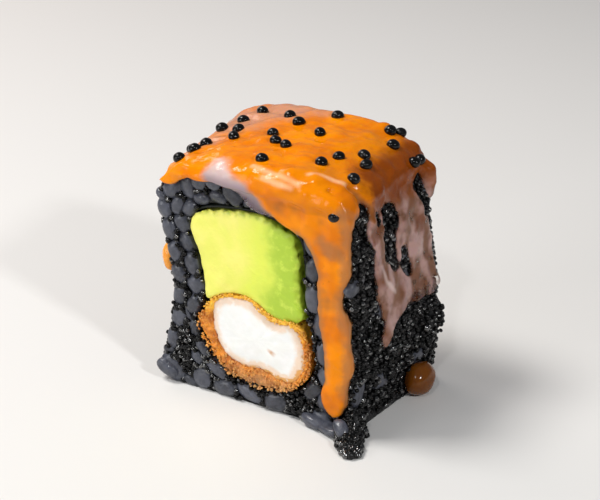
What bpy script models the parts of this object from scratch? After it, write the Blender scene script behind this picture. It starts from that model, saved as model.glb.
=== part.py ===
"""One piece of uramaki roll: a ring of black rice rolled in roe, a strip of
nori inside it, avocado and tempura prawn in the middle, and a thick sauce
poured over the top with beads of roe scattered on it.

The piece stands on the table with its cut face towards -Y, its seen side
towards +X and +Z up. The origin is on its flat base. Every size below is in
millimetres, and MM turns it into metres when a mesh is made.
"""
import math
import random

import bmesh
import bpy
import numpy as np
from mathutils import Euler, Vector
from mathutils.bvhtree import BVHTree

MM = 0.001
SEED = 31

# Driving sizes of the piece
LENGTH = 26.0            # from cut face to cut face
GAP = 0.3                # clear space between two pieces that touch
FACE_DEPTH = 1.0         # how far the grains stand proud of the bare cut
EDGE_ROUND = 1.3         # rounding where a cut face meets the rolled side
ROE_RELIEF = 1.0         # depth of the knobbly coat on the rolled side
NORI_THICK = 0.5
FILLING_INSET = 0.3      # nori and fillings end this far inside the cut faces
SAUCE_THICK = 1.5
SAUCE_VOXEL = 0.75       # cell of the mesh that melts the sauce shapes together
SAUCE_TRIANGLES = 1750

# Rolled outline from the left foot over the top to the right foot, (x, z):
# at the front cut, where the left shoulder is round, and at the back cut
FRONT_OUTLINE = [(-18.4, 0.0), (-19.0, 3.5), (-17.6, 10.0), (-16.6, 17.0), (-17.2, 24.0),
                 (-18.5, 30.0), (-17.4, 35.0), (-13.0, 38.4), (-6.5, 40.2), (2.0, 41.0),
                 (10.0, 40.9), (16.3, 39.2), (18.9, 34.5), (19.2, 25.0), (19.0, 14.0),
                 (19.2, 5.0), (18.4, 0.0)]
BACK_OUTLINE = [(-18.0, 0.0), (-18.6, 3.5), (-18.2, 10.0), (-17.8, 17.0), (-18.0, 24.0),
                (-18.6, 30.0), (-18.6, 36.0), (-15.6, 40.2), (-8.5, 41.8), (1.0, 42.2),
                (9.0, 41.6), (15.4, 39.0), (18.2, 34.0), (19.5, 25.0), (21.7, 12.5),
                (20.9, 4.5), (20.0, 0.0)]
WIDEST = max(abs(x) for x, z in BACK_OUTLINE)
TALLEST = max(z for x, z in BACK_OUTLINE)

# What the rice is rolled round, (x, z)
NORI_OUTLINE = [(-13.0, 28.9), (-11.5, 31.9), (-8.2, 33.5), (-2.6, 34.4), (2.0, 34.5),
                (6.4, 33.4), (9.3, 31.7), (10.1, 28.0), (10.4, 23.4), (10.9, 18.6),
                (11.8, 14.4), (12.3, 10.2), (11.2, 6.3), (7.8, 3.9), (3.6, 2.9),
                (-0.8, 2.7), (-5.0, 3.2), (-7.7, 5.0), (-10.0, 7.8), (-11.7, 11.0),
                (-11.7, 14.4), (-10.8, 18.2), (-11.5, 22.0), (-12.4, 25.4)]
AVOCADO_OUTLINE = [(-11.8, 28.5), (-10.6, 30.8), (-7.8, 32.2), (-2.6, 33.2), (1.6, 33.3),
                   (5.4, 32.3), (8.3, 30.9), (9.0, 28.0), (9.3, 23.4), (9.7, 19.8),
                   (9.0, 17.2), (5.4, 17.6), (1.9, 18.4), (-1.2, 19.8), (-5.0, 19.6),
                   (-9.0, 17.9), (-10.4, 21.9), (-11.3, 25.6)]
PRAWN_OUTLINE = [(-10.5, 13.6), (-8.4, 17.2), (-4.6, 19.0), (-0.9, 19.2), (2.0, 17.8),
                 (5.4, 17.0), (8.6, 16.2), (10.4, 13.8), (11.1, 10.4), (10.1, 7.2),
                 (7.2, 4.9), (3.6, 3.9), (-0.6, 3.8), (-4.4, 4.4), (-6.6, 6.1),
                 (-8.8, 8.6), (-10.4, 11.0)]

# Cooked grains of rice and beads of roe
GRAIN_WIDE = 3.1
GRAIN_FLAT = 2.7
GRAIN_LONG = 6.4
GRAIN_PITCH = 3.15       # from one grain to the next along a row
GRAIN_ROW = 1.55         # from the rolled side or the nori to the nearest row
LONG_GRAINS = 0.3        # share of the grains that lie along their row
GRAIN_SUNK = 0.35        # most that a grain ends short of the piece's end
GRAIN_SIDES = 5          # sides of a grain, and its rings of faces
GRAIN_RINGS = 4
GAP_GRAIN = (1.3, 1.1, 1.2)
GAP_TRIES = 1500
CLUMP_RADIUS = 0.95      # small clumps of fine roe on the rolled side
CLUMP_COUNT = 18         # for each side
CLUMP_APART = 4.8
CLUMP_TOP = 34.0         # none under the sauce
CLUMP_TRIES = 4000
BEAD_RADIUS = 0.95       # large beads of roe on the sauce
BEAD_PROUD = 0.25        # a bead's middle above the sauce

# Beads on the sauce, (x, y) seen from above
SAUCE_BEADS = [(-13, -9), (-10, -13), (-12, -12), (-10, -10), (-12, -3), (-9, -2), (-8, -5),
               (-11, 2), (-10, 7), (-5, 7), (-3, 6), (-4, 0), (-1, -3), (1, -4),
               (1, -10), (3, 4), (0, 11), (9, -6), (10.5, -3), (13.5, -1), (15, -4),
               (17, -9), (11, 10), (13.5, 10), (15.5, 5.5)]

# Runs of sauce, (place, top z, bottom z, half width), the place being x on a
# cut face and y on a rolled side
FRONT_RUNS = [(-15.5, 38.0, 36.4, 1.9), (-11.8, 40.0, 38.6, 2.0), (-7.0, 41.0, 39.6, 2.3),
              (-2.0, 41.0, 39.2, 2.5), (2.6, 41.0, 38.2, 2.8), (6.6, 40.5, 36.0, 2.9),
              (10.4, 40.5, 33.8, 3.0), (13.6, 40.0, 25.0, 3.0), (16.8, 38.0, 20.0, 2.4),
              (16.3, 27.0, 5.3, 3.3)]
RIGHT_RUNS = [(-11.5, 38.0, 34.0, 1.8), (-7.4, 38.5, 25.0, 1.7), (-4.8, 38.5, 33.0, 1.9),
              (-4.2, 30.0, 13.0, 2.1), (-1.4, 27.0, 18.0, 1.9), (-0.6, 38.5, 36.0, 1.9),
              (2.4, 38.5, 19.5, 2.1), (5.4, 38.5, 20.5, 2.0), (8.4, 38.5, 22.0, 2.1),
              (11.0, 38.0, 25.0, 1.9)]
LEFT_RUNS = [(-10.4, 35.5, 34.0, 1.5), (-7.0, 36.5, 29.0, 2.2), (-3.0, 36.5, 33.0, 2.2),
             (1.0, 37.0, 27.0, 2.3), (5.0, 37.0, 33.0, 2.3), (9.5, 37.0, 24.0, 2.3)]
BACK_RUNS = [(-14.0, 38.0, 35.0, 2.2), (-9.0, 39.5, 30.0, 2.4), (-4.0, 40.5, 36.5, 2.4),
             (1.0, 41.0, 27.0, 2.5), (5.5, 41.0, 36.0, 2.4), (10.0, 41.0, 32.0, 2.5),
             (14.6, 39.0, 22.5, 2.4), (17.6, 37.0, 33.0, 1.8)]
RUNS_OF_SAUCE = {"front": FRONT_RUNS, "right": RIGHT_RUNS, "left": LEFT_RUNS, "back": BACK_RUNS}
RUN_SINK = 1.1           # how far a run's middle line lies inside the face
SAUCE_COVERS_X = 15.0    # the front cut is hidden right of this
SAUCE_COVERS_Z = 39.2    # and above this
CAP_EDGE = 38.2          # lowest level of the sheet of sauce over the top

# Loose drops of sauce on the sides and the roe spilled at the front foot
FOOT_DROP = (21.6, 5.2, 2.9)
FOOT_DROP_SIZE = (2.5, 2.9, 2.8)
SIDE_DROP = (-17.5, -9.4, 22.0)
SIDE_DROP_SIZE = (1.3, 2.0, 2.7)
SPILL_START = (18.4, -12.8)
SPILL_END = (22.2, -17.8)
SPILL_CLUMPS = 9
# centre, half sizes and turn of the two grains
SPILL_GRAINS = [((15.4, -13.0, 0.88), (2.8, 1.7, 0.85), (0, 0, -0.2)),
                ((19.0, -13.8, 1.25), (3.2, 2.0, 1.2), (0, 0, -0.85))]


def smooth_curve(points, closed):
    """Points close together on a smooth curve through the given ones."""
    pts = [np.array(p, float) for p in points]
    count = len(pts)
    spans = count if closed else count - 1
    fine = []
    for i in range(spans):
        if closed:
            a, b, c, d = (pts[(i + k) % count] for k in (-1, 0, 1, 2))
        else:
            a, b, c, d = (pts[min(max(i + k, 0), count - 1)] for k in (-1, 0, 1, 2))
        for t in np.arange(0, 1, 0.05):
            fine.append(0.5 * (2 * b + (c - a) * t + (2 * a - 5 * b + 4 * c - d) * t * t
                               + (3 * b - a - 3 * c + d) * t ** 3))
    if not closed:
        fine.append(pts[-1])
    return np.array(fine)


def evenly(curve, count, closed):
    """The curve again as count points at even steps along it."""
    line = np.vstack([curve, curve[:1]]) if closed else curve
    way = np.concatenate([[0], np.cumsum(np.linalg.norm(np.diff(line, axis=0), axis=1))])
    stops = np.linspace(0, way[-1], count, endpoint=not closed)
    return np.column_stack([np.interp(stops, way, line[:, k]) for k in (0, 1)])


def closed_outline(points, count):
    return evenly(smooth_curve(points, True), count, True)


def outward(loop):
    """Unit normals of a loop that runs clockwise in x and z."""
    run = np.roll(loop, -1, axis=0) - np.roll(loop, 1, axis=0)
    run /= np.linalg.norm(run, axis=1)[:, None]
    return np.column_stack([-run[:, 1], run[:, 0]])


def grown(loop, distance):
    return loop + outward(loop) * distance


def rolled_section(y, side_count, base_count, growth=0.0):
    """Outline of the whole roll at one place along it, with a flat base."""
    share = y / LENGTH + 0.5
    front = evenly(smooth_curve(FRONT_OUTLINE, False), side_count, False)
    back = evenly(smooth_curve(BACK_OUTLINE, False), side_count, False)
    arch = front * (1 - share) + back * share
    base = np.linspace(arch[-1], arch[0], base_count + 2)[1:-1]
    loop = grown(np.vstack([arch, base]), growth)
    loop[:, 1] = np.maximum(loop[:, 1], 0.0)
    loop[side_count:, 1] = 0.0
    return loop


def surface_place(side, place, z):
    """Point of the roll's bare surface: side names the face, place is x or y."""
    if side in ("front", "back"):
        sign = -1 if side == "front" else 1
        return np.array([place, sign * LENGTH / 2, z]), np.array([0, sign, 0.0])
    loop = rolled_section(place, 160, 2)
    normals = outward(loop)
    half = [i for i in range(160) if (loop[i, 0] > 0) == (side == "right")]
    best = min(half, key=lambda i: abs(loop[i, 1] - z))
    at, normal = loop[best], normals[best]
    return np.array([at[0], place, at[1]]), np.array([normal[0], 0, normal[1]])


def material(name, colour, roughness):
    made = bpy.data.materials.new(name)
    made.use_nodes = True
    shader = made.node_tree.nodes["Principled BSDF"]
    shader.inputs["Base Color"].default_value = (*colour, 1)
    shader.inputs["Roughness"].default_value = roughness
    return made


def new_object(name, bm, finish=None):
    """The bmesh, drawn in millimetres, as an object in metres."""
    bmesh.ops.recalc_face_normals(bm, faces=bm.faces)
    bmesh.ops.scale(bm, vec=(MM, MM, MM), verts=bm.verts)
    mesh = bpy.data.meshes.new(name)
    bm.to_mesh(mesh)
    bm.free()
    if finish:
        mesh.materials.append(finish)
    obj = bpy.data.objects.new(name, mesh)
    bpy.context.scene.collection.objects.link(obj)
    return obj


def skin_rings(bm, rings, close_ends=True):
    """Faces between one ring of points and the next, and over both ends."""
    made = [[bm.verts.new(p) for p in ring] for ring in rings]
    count = len(made[0])
    for one, two in zip(made, made[1:]):
        for i in range(count):
            j = (i + 1) % count
            bm.faces.new((one[i], one[j], two[j], two[i]))
    if close_ends:
        bm.faces.new(made[0])
        bm.faces.new(made[-1])
    return made


def ring_at(loop, y):
    return [(x, y, z) for x, z in loop]


def prism(name, loop, y_start, y_end, finish=None):
    bm = bmesh.new()
    skin_rings(bm, [ring_at(loop, y_start), ring_at(loop, y_end)])
    return new_object(name, bm, finish)


def ellipsoid(bm, centre, half_sizes, turn=(0, 0, 0), segments=GRAIN_SIDES, rings=GRAIN_RINGS):
    made = bmesh.ops.create_uvsphere(bm, u_segments=segments, v_segments=rings, radius=1)
    shape = Euler(turn).to_matrix()
    for vert in made["verts"]:
        vert.co = shape @ Vector(np.array(vert.co) * half_sizes) + Vector(centre)


def ellipsoid_object(name, *args, **kwargs):
    bm = bmesh.new()
    ellipsoid(bm, *args, **kwargs)
    return new_object(name, bm)


def apply_modifiers(obj):
    depsgraph = bpy.context.evaluated_depsgraph_get()
    mesh = bpy.data.meshes.new_from_object(obj.evaluated_get(depsgraph))
    old = obj.data
    obj.modifiers.clear()
    obj.data = mesh
    bpy.data.meshes.remove(old)


def cut_away(obj, cutter):
    cut = obj.modifiers.new("cut", "BOOLEAN")
    cut.operation = "DIFFERENCE"
    cut.solver = "EXACT"
    cut.object = cutter
    apply_modifiers(obj)
    bpy.data.objects.remove(cutter)


def fuse(obj, pieces):
    """One union of the object with all the small pieces."""
    group = bpy.data.collections.new(obj.name + "_pieces")
    bpy.context.scene.collection.children.link(group)
    for piece in pieces:
        bpy.context.scene.collection.objects.unlink(piece)
        group.objects.link(piece)
    union = obj.modifiers.new("fuse", "BOOLEAN")
    union.operation = "UNION"
    union.solver = "EXACT"
    union.operand_type = "COLLECTION"
    union.collection = group
    apply_modifiers(obj)
    for piece in pieces:
        bpy.data.objects.remove(piece)
    bpy.data.collections.remove(group)


def keep_main_body(obj):
    """Drops sealed hollows and loose scraps, and leaves the largest shell."""
    bm = bmesh.new()
    bm.from_mesh(obj.data)
    bmesh.ops.remove_doubles(bm, verts=bm.verts, dist=1e-7)
    bmesh.ops.triangulate(bm, faces=bm.faces)
    left = set(bm.verts)
    shells = []
    while left:
        start = left.pop()
        shell = {start}
        queue = [start]
        while queue:
            for edge in queue.pop().link_edges:
                for vert in edge.verts:
                    if vert in left:
                        left.discard(vert)
                        shell.add(vert)
                        queue.append(vert)
        shells.append(shell)
    main = max(shells, key=len)
    scraps = [v for v in bm.verts if v not in main]
    bmesh.ops.delete(bm, geom=scraps, context="VERTS")
    bm.to_mesh(obj.data)
    bm.free()
    print(obj.name, len(obj.data.polygons), "triangles,", len(shells) - 1, "scraps dropped")


def shade(obj):
    obj.data.shade_smooth()
    obj.data.set_sharp_from_angle(angle=math.radians(50))


def rice_core(finish):
    """The bare block of rice, its rolled side knobbly with fine roe."""
    rng = random.Random(SEED)
    side_count, base_count, stations = 56, 5, 13
    half = LENGTH / 2 - FACE_DEPTH
    rings = []
    for k in range(stations):
        y = half * math.sin(math.pi / 2 * (2 * k / (stations - 1) - 1))
        past = max(0.0, abs(y) - (half - EDGE_ROUND)) / EDGE_ROUND
        inset = EDGE_ROUND * (1 - math.sqrt(max(0.0, 1 - past * past))) * 0.8
        loop = rolled_section(y, side_count, base_count, -inset)
        normals = outward(loop)
        for i in range(side_count):
            under_sauce = min(max((loop[i, 1] - 33) / 5, 0), 1)
            above_base = min(max(loop[i, 1] / 2.5, 0), 1)
            depth = ROE_RELIEF * (0.25 + 0.75 * rng.random()) * ((i + k) % 2 * 0.6 + 0.4)
            loop[i] -= normals[i] * depth * (1 - under_sauce) * above_base
        rings.append(ring_at(loop, y))
    bm = bmesh.new()
    skin_rings(bm, rings)
    return new_object("rice", bm, finish)


def inside(loop, x, z):
    """Whether a point lies inside a closed loop of (x, z)."""
    here, there = loop, np.roll(loop, -1, axis=0)
    spans = (here[:, 1] > z) != (there[:, 1] > z)
    rise = np.where(spans, there[:, 1] - here[:, 1], 1.0)
    crossing = here[:, 0] + (z - here[:, 1]) * (there[:, 0] - here[:, 0]) / rise
    return np.count_nonzero(spans & (x < crossing)) % 2 == 1


def grain(x, z, sign, sunk, half_sizes, slope):
    """One grain at a cut face, its outermost point sunk below the piece's end."""
    y = sign * (LENGTH / 2 - half_sizes[1] - sunk)
    return ellipsoid_object("grain", (x, y, z), half_sizes, (0, -slope, 0))


def under_sauce(x, z, sign):
    """Where the sauce hides the front cut, so that no grain is needed."""
    reach = GRAIN_LONG / 4
    return sign < 0 and (x > SAUCE_COVERS_X - reach or z > SAUCE_COVERS_Z - reach)


def grain_row(rng, loop, tunnel, taken, sign):
    """Grains along one row of a cut face; taken keeps the rows apart."""
    grains = []
    fine = evenly(loop, 400, True)
    length = np.linalg.norm(np.roll(fine, -1, axis=0) - fine, axis=1).sum()
    at = rng.random() * 2
    while at < length - 1.0:
        lying = rng.random() < LONG_GRAINS
        reach = (GRAIN_LONG if lying else GRAIN_PITCH) * rng.uniform(0.9, 1.08)
        i = int((at + reach / 2) / length * 400) % 400
        at += reach * 0.97
        x = fine[i, 0] + rng.uniform(-0.2, 0.2)
        z = fine[i, 1] + rng.uniform(-0.2, 0.2)
        run = fine[(i + 4) % 400] - fine[i - 4]
        slope = math.atan2(run[1], run[0]) + rng.uniform(-0.15, 0.15)
        wide = GRAIN_WIDE / 2 * rng.uniform(0.88, 1.06)
        flat = GRAIN_FLAT / 2 * rng.uniform(0.88, 1.06)
        spare = np.linalg.norm(tunnel - (x, z), axis=1).min() - flat
        if spare < 0.1:
            flat = max(flat + spare - 0.1, 0.8)
            wide = min(wide, flat * 1.25)
        z = max(z, flat + 0.15, wide + 0.05)
        if any(math.hypot(x - a, z - b) < 0.8 * (wide + c) for a, b, c in taken):
            continue
        taken.append((x, z, wide))
        if under_sauce(x, z, sign):
            continue
        sizes = (reach / 2, flat, flat) if lying else (wide, FACE_DEPTH * 1.1, flat)
        grains.append(grain(x, z, sign, rng.uniform(0, GRAIN_SUNK), sizes, slope))
    return grains


def gap_grains(rng, tunnel, taken, sign):
    """Smaller grain ends wherever the rows leave bare core."""
    grains = []
    wide = GAP_GRAIN[0]
    room = rolled_section(sign * LENGTH / 2, 90, 20, -wide)
    for attempt in range(GAP_TRIES):
        x, z = rng.uniform(-WIDEST, WIDEST), rng.uniform(wide, TALLEST)
        if not inside(room, x, z) or inside(tunnel, x, z):
            continue
        if np.linalg.norm(tunnel - (x, z), axis=1).min() < wide:
            continue
        if any(math.hypot(x - a, z - b) < 0.85 * (wide + c) for a, b, c in taken):
            continue
        taken.append((x, z, wide))
        if under_sauce(x, z, sign):
            continue
        grains.append(grain(x, z, sign, rng.uniform(0, GRAIN_SUNK), GAP_GRAIN, rng.uniform(-1, 1)))
    return grains


def face_grains():
    """Two rows of grains and their gap fillers on both cut faces."""
    rng = random.Random(SEED + 1)
    tunnel = grown(closed_outline(NORI_OUTLINE, 120), GAP)
    grains = []
    for sign in (-1, 1):
        taken = []
        outer = rolled_section(sign * LENGTH / 2, 150, 40, -GRAIN_ROW)
        outer[:, 1] = np.maximum(outer[:, 1], GRAIN_FLAT / 2 + 0.15)
        grains += grain_row(rng, outer, tunnel, taken, sign)
        grains += grain_row(rng, grown(tunnel, GRAIN_ROW), tunnel, taken, sign)
        grains += gap_grains(rng, tunnel, taken, sign)
    print("grains", len(grains))
    return grains


def side_clumps():
    """Clumps of roe that stand out of the rolled sides, spread evenly."""
    rng = random.Random(SEED + 2)
    clumps = []
    for side in ("left", "right"):
        placed = []
        for attempt in range(CLUMP_TRIES):
            y = rng.uniform(-LENGTH / 2 + 2, LENGTH / 2 - 2)
            z = rng.uniform(2.0, CLUMP_TOP)
            if len(placed) == CLUMP_COUNT:
                break
            if any(math.hypot(y - a, z - b) < CLUMP_APART for a, b in placed):
                continue
            placed.append((y, z))
            radius = CLUMP_RADIUS * rng.uniform(0.75, 1.1)
            at, normal = surface_place(side, y, z)
            centre = at - normal * (radius + 0.05)
            turn = (rng.random(), rng.random(), 0)
            clumps.append(ellipsoid_object("clump", centre, (radius,) * 3, turn))
    return clumps


def foot_spill():
    """Roe and two grains of rice that fell at the front right foot."""
    rng = random.Random(SEED + 3)
    spill = [ellipsoid_object("spill", *size_and_place) for size_and_place in SPILL_GRAINS]
    start, end = np.array(SPILL_START), np.array(SPILL_END)
    for k in range(SPILL_CLUMPS):
        share = k / (SPILL_CLUMPS - 1)
        radius = rng.uniform(0.95, 1.25) * (1.1 - 0.2 * share)
        spread = 1.5 * math.sin(math.pi * min(share + 0.15, 1))
        centre = start * (1 - share) + end * share + np.array([rng.uniform(-spread, spread), 0])
        place = (centre[0], centre[1], radius)
        spill.append(ellipsoid_object("spill", place, (radius,) * 3, (0, 0, rng.random())))
    return spill


def build_rice():
    finish = material("black_rice", (0.035, 0.04, 0.05), 0.35)
    rice = rice_core(finish)
    drops = [ellipsoid_object("drop", FOOT_DROP, FOOT_DROP_SIZE, (0, 0, 0), 10, 7),
             ellipsoid_object("drop", SIDE_DROP, SIDE_DROP_SIZE, (0, 0, 0), 8, 6)]
    fuse(rice, face_grains() + side_clumps() + foot_spill() + drops)
    tunnel = grown(closed_outline(NORI_OUTLINE, 44), GAP)
    cut_away(rice, prism("tunnel", tunnel, -LENGTH, LENGTH))
    keep_main_body(rice)
    shade(rice)
    return rice


def build_nori():
    finish = material("nori", (0.012, 0.018, 0.014), 0.5)
    outer = closed_outline(NORI_OUTLINE, 44)
    inner = grown(outer, -NORI_THICK)
    end = LENGTH / 2 - FILLING_INSET
    bm = bmesh.new()
    rings = [ring_at(outer, -end), ring_at(outer, end), ring_at(inner, end), ring_at(inner, -end)]
    rings.append(rings[0])
    skin_rings(bm, rings, close_ends=False)
    bmesh.ops.remove_doubles(bm, verts=bm.verts, dist=0.001)
    nori = new_object("nori", bm, finish)
    shade(nori)
    return nori


def filling(name, loop, centre, finish, relief, crown, steps):
    """A filling that runs right through, its ends rounded and lifted by crown.

    relief(i, y) says how far point i of the outline sinks inwards at y.
    """
    end = LENGTH / 2 - FILLING_INSET
    normals = outward(loop)
    rings = []

    def ring(scale, y, sink):
        placed = []
        for i, (x, z) in enumerate(loop):
            at = np.array([x, z]) - normals[i] * sink * relief(i, y)
            at = np.array(centre) + (at - centre) * scale
            placed.append((at[0], y, at[1]))
        return placed

    face_scales = (0.35, 0.7, 0.93)
    for scale in face_scales:
        rings.append(ring(scale, -end - crown * (1 - scale) + 0.15 * (scale > 0.9), 0.6))
    for y in np.linspace(-end + 0.5, end - 0.5, steps):
        rings.append(ring(1.0, y, 1.0))
    for scale in reversed(face_scales):
        rings.append(ring(scale, end + crown * (1 - scale) - 0.15 * (scale > 0.9), 0.6))
    bm = bmesh.new()
    skin_rings(bm, rings)
    bmesh.ops.triangulate(bm, faces=bm.faces)
    made = new_object(name, bm, finish)
    shade(made)
    return made


def build_avocado():
    finish = material("avocado", (0.62, 0.68, 0.2), 0.45)
    loop = closed_outline(AVOCADO_OUTLINE, 28)

    def dents(i, y):
        return 0.15 + 0.15 * math.sin(i * 2.1 + y * 0.7)

    return filling("avocado", loop, (-0.8, 25.5), finish, dents, 0.15, 3)


def build_prawn():
    finish = material("tempura_crust", (0.62, 0.3, 0.09), 0.6)
    loop = closed_outline(PRAWN_OUTLINE, 36)
    rng = random.Random(SEED + 4)
    crags = {}

    def crumb(i, y):
        key = (i, round(y, 1))
        if key not in crags:
            crags[key] = rng.uniform(0.05, 0.75)
        return crags[key]

    return filling("tempura_prawn", loop, (0.4, 11.4), finish, crumb, 0.25, 7)


def slice_off(bm, place, normal):
    """Cuts the closed shape flat at a plane and drops what the normal points to."""
    everything = bm.verts[:] + bm.edges[:] + bm.faces[:]
    cut = bmesh.ops.bisect_plane(bm, geom=everything, plane_co=place, plane_no=normal,
                                 clear_outer=True)
    rim = [part for part in cut["geom_cut"] if isinstance(part, bmesh.types.BMEdge)]
    bmesh.ops.edgenet_fill(bm, edges=rim)


def room_for_rice():
    """What the sauce must stay clear of: the roll, and the grains on its cuts."""
    half = LENGTH / 2
    bare = half - FACE_DEPTH
    bm = bmesh.new()
    stations = [(-bare - GAP, 0.9), (-bare + 0.5, 0.2), (-bare + 1.5, 0.0), (bare - 1.5, 0.0),
                (half + GAP, 0.0)]
    skin_rings(bm, [ring_at(rolled_section(y, 46, 4, GAP - inset), y) for y, inset in stations])
    for vert in bm.verts:
        if vert.co.z < 0.5:
            vert.co.z = -1.0
    room = new_object("room", bm)

    bm = bmesh.new()
    skin_rings(bm, [ring_at(rolled_section(y, 46, 4, GAP), y) for y in (-half - GAP, 0.0)])
    slice_off(bm, (SAUCE_COVERS_X, 0, 0), (1, 0, 0))
    slice_off(bm, (0, 0, SAUCE_COVERS_Z), (0, 0, 1))
    fuse(room, [new_object("room_for_grains", bm)])
    return room


def run_of_sauce(bm, side, place, top, bottom, half_width):
    """A run that hangs down one face: a chain of overlapping drops."""
    steps = max(2, int((top - bottom) / (half_width * 0.7)) + 1)
    for k in range(steps):
        share = k / (steps - 1)
        z = top + (bottom - top) * share
        at, normal = surface_place(side, place, z)
        swell = 1.0 + 0.12 * math.sin(3.0 * share + place) if share < 0.95 else 1.08
        radius = half_width * swell
        centre = at - normal * RUN_SINK * half_width / 2.2
        ellipsoid(bm, centre, (radius, radius, radius), segments=12, rings=8)


def build_sauce():
    """Sauce over the top and down the sides, cut clear of the rice."""
    finish = material("sauce", (0.82, 0.3, 0.04), 0.2)
    bm = bmesh.new()
    half = LENGTH / 2
    rings = []
    for k in range(17):
        y = (half + SAUCE_THICK) * math.sin(math.pi / 2 * (k / 8 - 1))
        depth = max(0.0, abs(y) - (half - 2.0)) / (SAUCE_THICK + 2.0)
        inset = (SAUCE_THICK + 1.2) * (1 - math.sqrt(max(0.0, 1 - depth * depth)))
        rings.append(ring_at(rolled_section(y, 60, 6, SAUCE_THICK - inset), y))
    skin_rings(bm, rings)
    slice_off(bm, (0, 0, CAP_EDGE), (0, 0, -1))
    for side, runs in RUNS_OF_SAUCE.items():
        for run in runs:
            run_of_sauce(bm, side, *run)
    sauce = new_object("sauce", bm, finish)

    melt = sauce.modifiers.new("melt", "REMESH")
    melt.mode = "VOXEL"
    melt.voxel_size = SAUCE_VOXEL * MM
    soften = sauce.modifiers.new("soften", "SMOOTH")
    soften.factor = 0.6
    soften.iterations = 5
    apply_modifiers(sauce)
    thin_out = sauce.modifiers.new("thin_out", "DECIMATE")
    thin_out.ratio = SAUCE_TRIANGLES / (2 * len(sauce.data.polygons))
    apply_modifiers(sauce)

    cut_away(sauce, room_for_rice())
    keep_main_body(sauce)

    tree = BVHTree.FromPolygons([v.co / MM for v in sauce.data.vertices],
                                [tuple(f.vertices) for f in sauce.data.polygons])
    beads = []
    for x, y in SAUCE_BEADS:
        at, normal, index, distance = tree.ray_cast(Vector((x, y, 60)), Vector((0, 0, -1)))
        if at is None:
            print("no sauce under the bead at", x, y)
            continue
        turn = (0.3, x, 0)
        place = at + normal * BEAD_PROUD
        beads.append(ellipsoid_object("bead", place, (BEAD_RADIUS,) * 3, turn))
    fuse(sauce, beads)
    keep_main_body(sauce)
    shade(sauce)
    return sauce


for old in list(bpy.data.objects):
    bpy.data.objects.remove(old)

build_rice()
build_nori()
build_avocado()
build_prawn()
build_sauce()
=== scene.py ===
# %% [markdown]
# # A piece of uramaki roll
#
# Uramaki is sushi rolled inside out: the rice is on the outside, and a sheet of nori
# round the filling is on the inside. This one is made with black rice, its rolled side
# is coated with tiny black roe, avocado and a tempura prawn run through the middle, and
# a thick orange sauce with larger beads of roe is poured over the top.
#
# The scene is built round a fixed frame of solids. Each solid is plain, and the pieces
# made below stand for it: they keep its form and add what a camera sees up close.

# %% Load the frame
import math
import random

import bmesh
import bpy
import numpy as np
from mathutils import Euler, Matrix, Vector, noise
from mathutils.bvhtree import BVHTree


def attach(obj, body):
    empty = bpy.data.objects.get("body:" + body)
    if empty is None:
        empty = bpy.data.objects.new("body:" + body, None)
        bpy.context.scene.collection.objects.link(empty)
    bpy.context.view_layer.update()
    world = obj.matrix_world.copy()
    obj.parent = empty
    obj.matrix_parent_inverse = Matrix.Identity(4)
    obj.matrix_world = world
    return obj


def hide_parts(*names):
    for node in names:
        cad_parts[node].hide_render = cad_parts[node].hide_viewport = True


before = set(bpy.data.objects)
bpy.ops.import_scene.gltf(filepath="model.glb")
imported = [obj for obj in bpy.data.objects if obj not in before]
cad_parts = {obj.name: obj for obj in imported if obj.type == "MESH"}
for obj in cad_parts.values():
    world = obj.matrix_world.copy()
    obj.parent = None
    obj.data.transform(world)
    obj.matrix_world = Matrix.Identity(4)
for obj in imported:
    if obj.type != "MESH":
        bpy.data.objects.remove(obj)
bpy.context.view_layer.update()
print("solids", sorted(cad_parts))

# %% [markdown]
# ## The camera
#
# The eye is a short step away and above: near enough for the front edge to look clearly
# longer than the back one. A camera that looks at a point from an angle is easiest to
# state as azimuth, elevation and distance, and a quaternion made from the line of sight
# turns it. The lens then sets how large the roll is in the picture.

# %% Place the camera
MM = 0.001
LOOK_AT = Vector((1.3, 0.0, 23.4)) * MM
VIEW_AZIMUTH = math.radians(32)
VIEW_ELEVATION = math.radians(24)
VIEW_DISTANCE = 260 * MM
SENSOR = 36.0
LENS = 95.4


def add_object(name, data):
    """A new object in the scene, at the origin."""
    obj = bpy.data.objects.new(name, data)
    bpy.context.scene.collection.objects.link(obj)
    return obj


camera_data = bpy.data.cameras.new("camera")
camera = add_object("camera", camera_data)
flat = math.cos(VIEW_ELEVATION)
towards_eye = Vector((math.sin(VIEW_AZIMUTH) * flat, -math.cos(VIEW_AZIMUTH) * flat,
                      math.sin(VIEW_ELEVATION)))
camera.location = LOOK_AT + towards_eye * VIEW_DISTANCE
camera.rotation_mode = "QUATERNION"
camera.rotation_quaternion = towards_eye.to_track_quat("Z", "Y")
camera_data.sensor_width = SENSOR
camera_data.lens = LENS
camera_data.clip_start = 0.01
bpy.context.scene.camera = camera
print("camera at", [round(c, 3) for c in camera.location])

# %% [markdown]
# ## The table and the light
#
# Glossy food needs large soft lamps, because each lamp shows as a reflection. One soft
# box hangs above and to the left and gives the bright rims on the sauce, where painted
# highlight streaks add to them. A second stands low behind on the left, and its pale sheen
# lies over the back of the sauce, with more sheen painted into the sauce's colour.
# The right side gets little, so that the roe there stays black with small sparkles.

# %% Lay the table and hang the lamps
TABLE_SIZE = 3.0
FLOOR_COLOUR = (0.78, 0.77, 0.75)
FLOOR_ROUGHNESS = 0.7
ROOM_COLOUR = (0.9, 0.93, 1.0)
ROOM_LIGHT = 0.17
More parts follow.
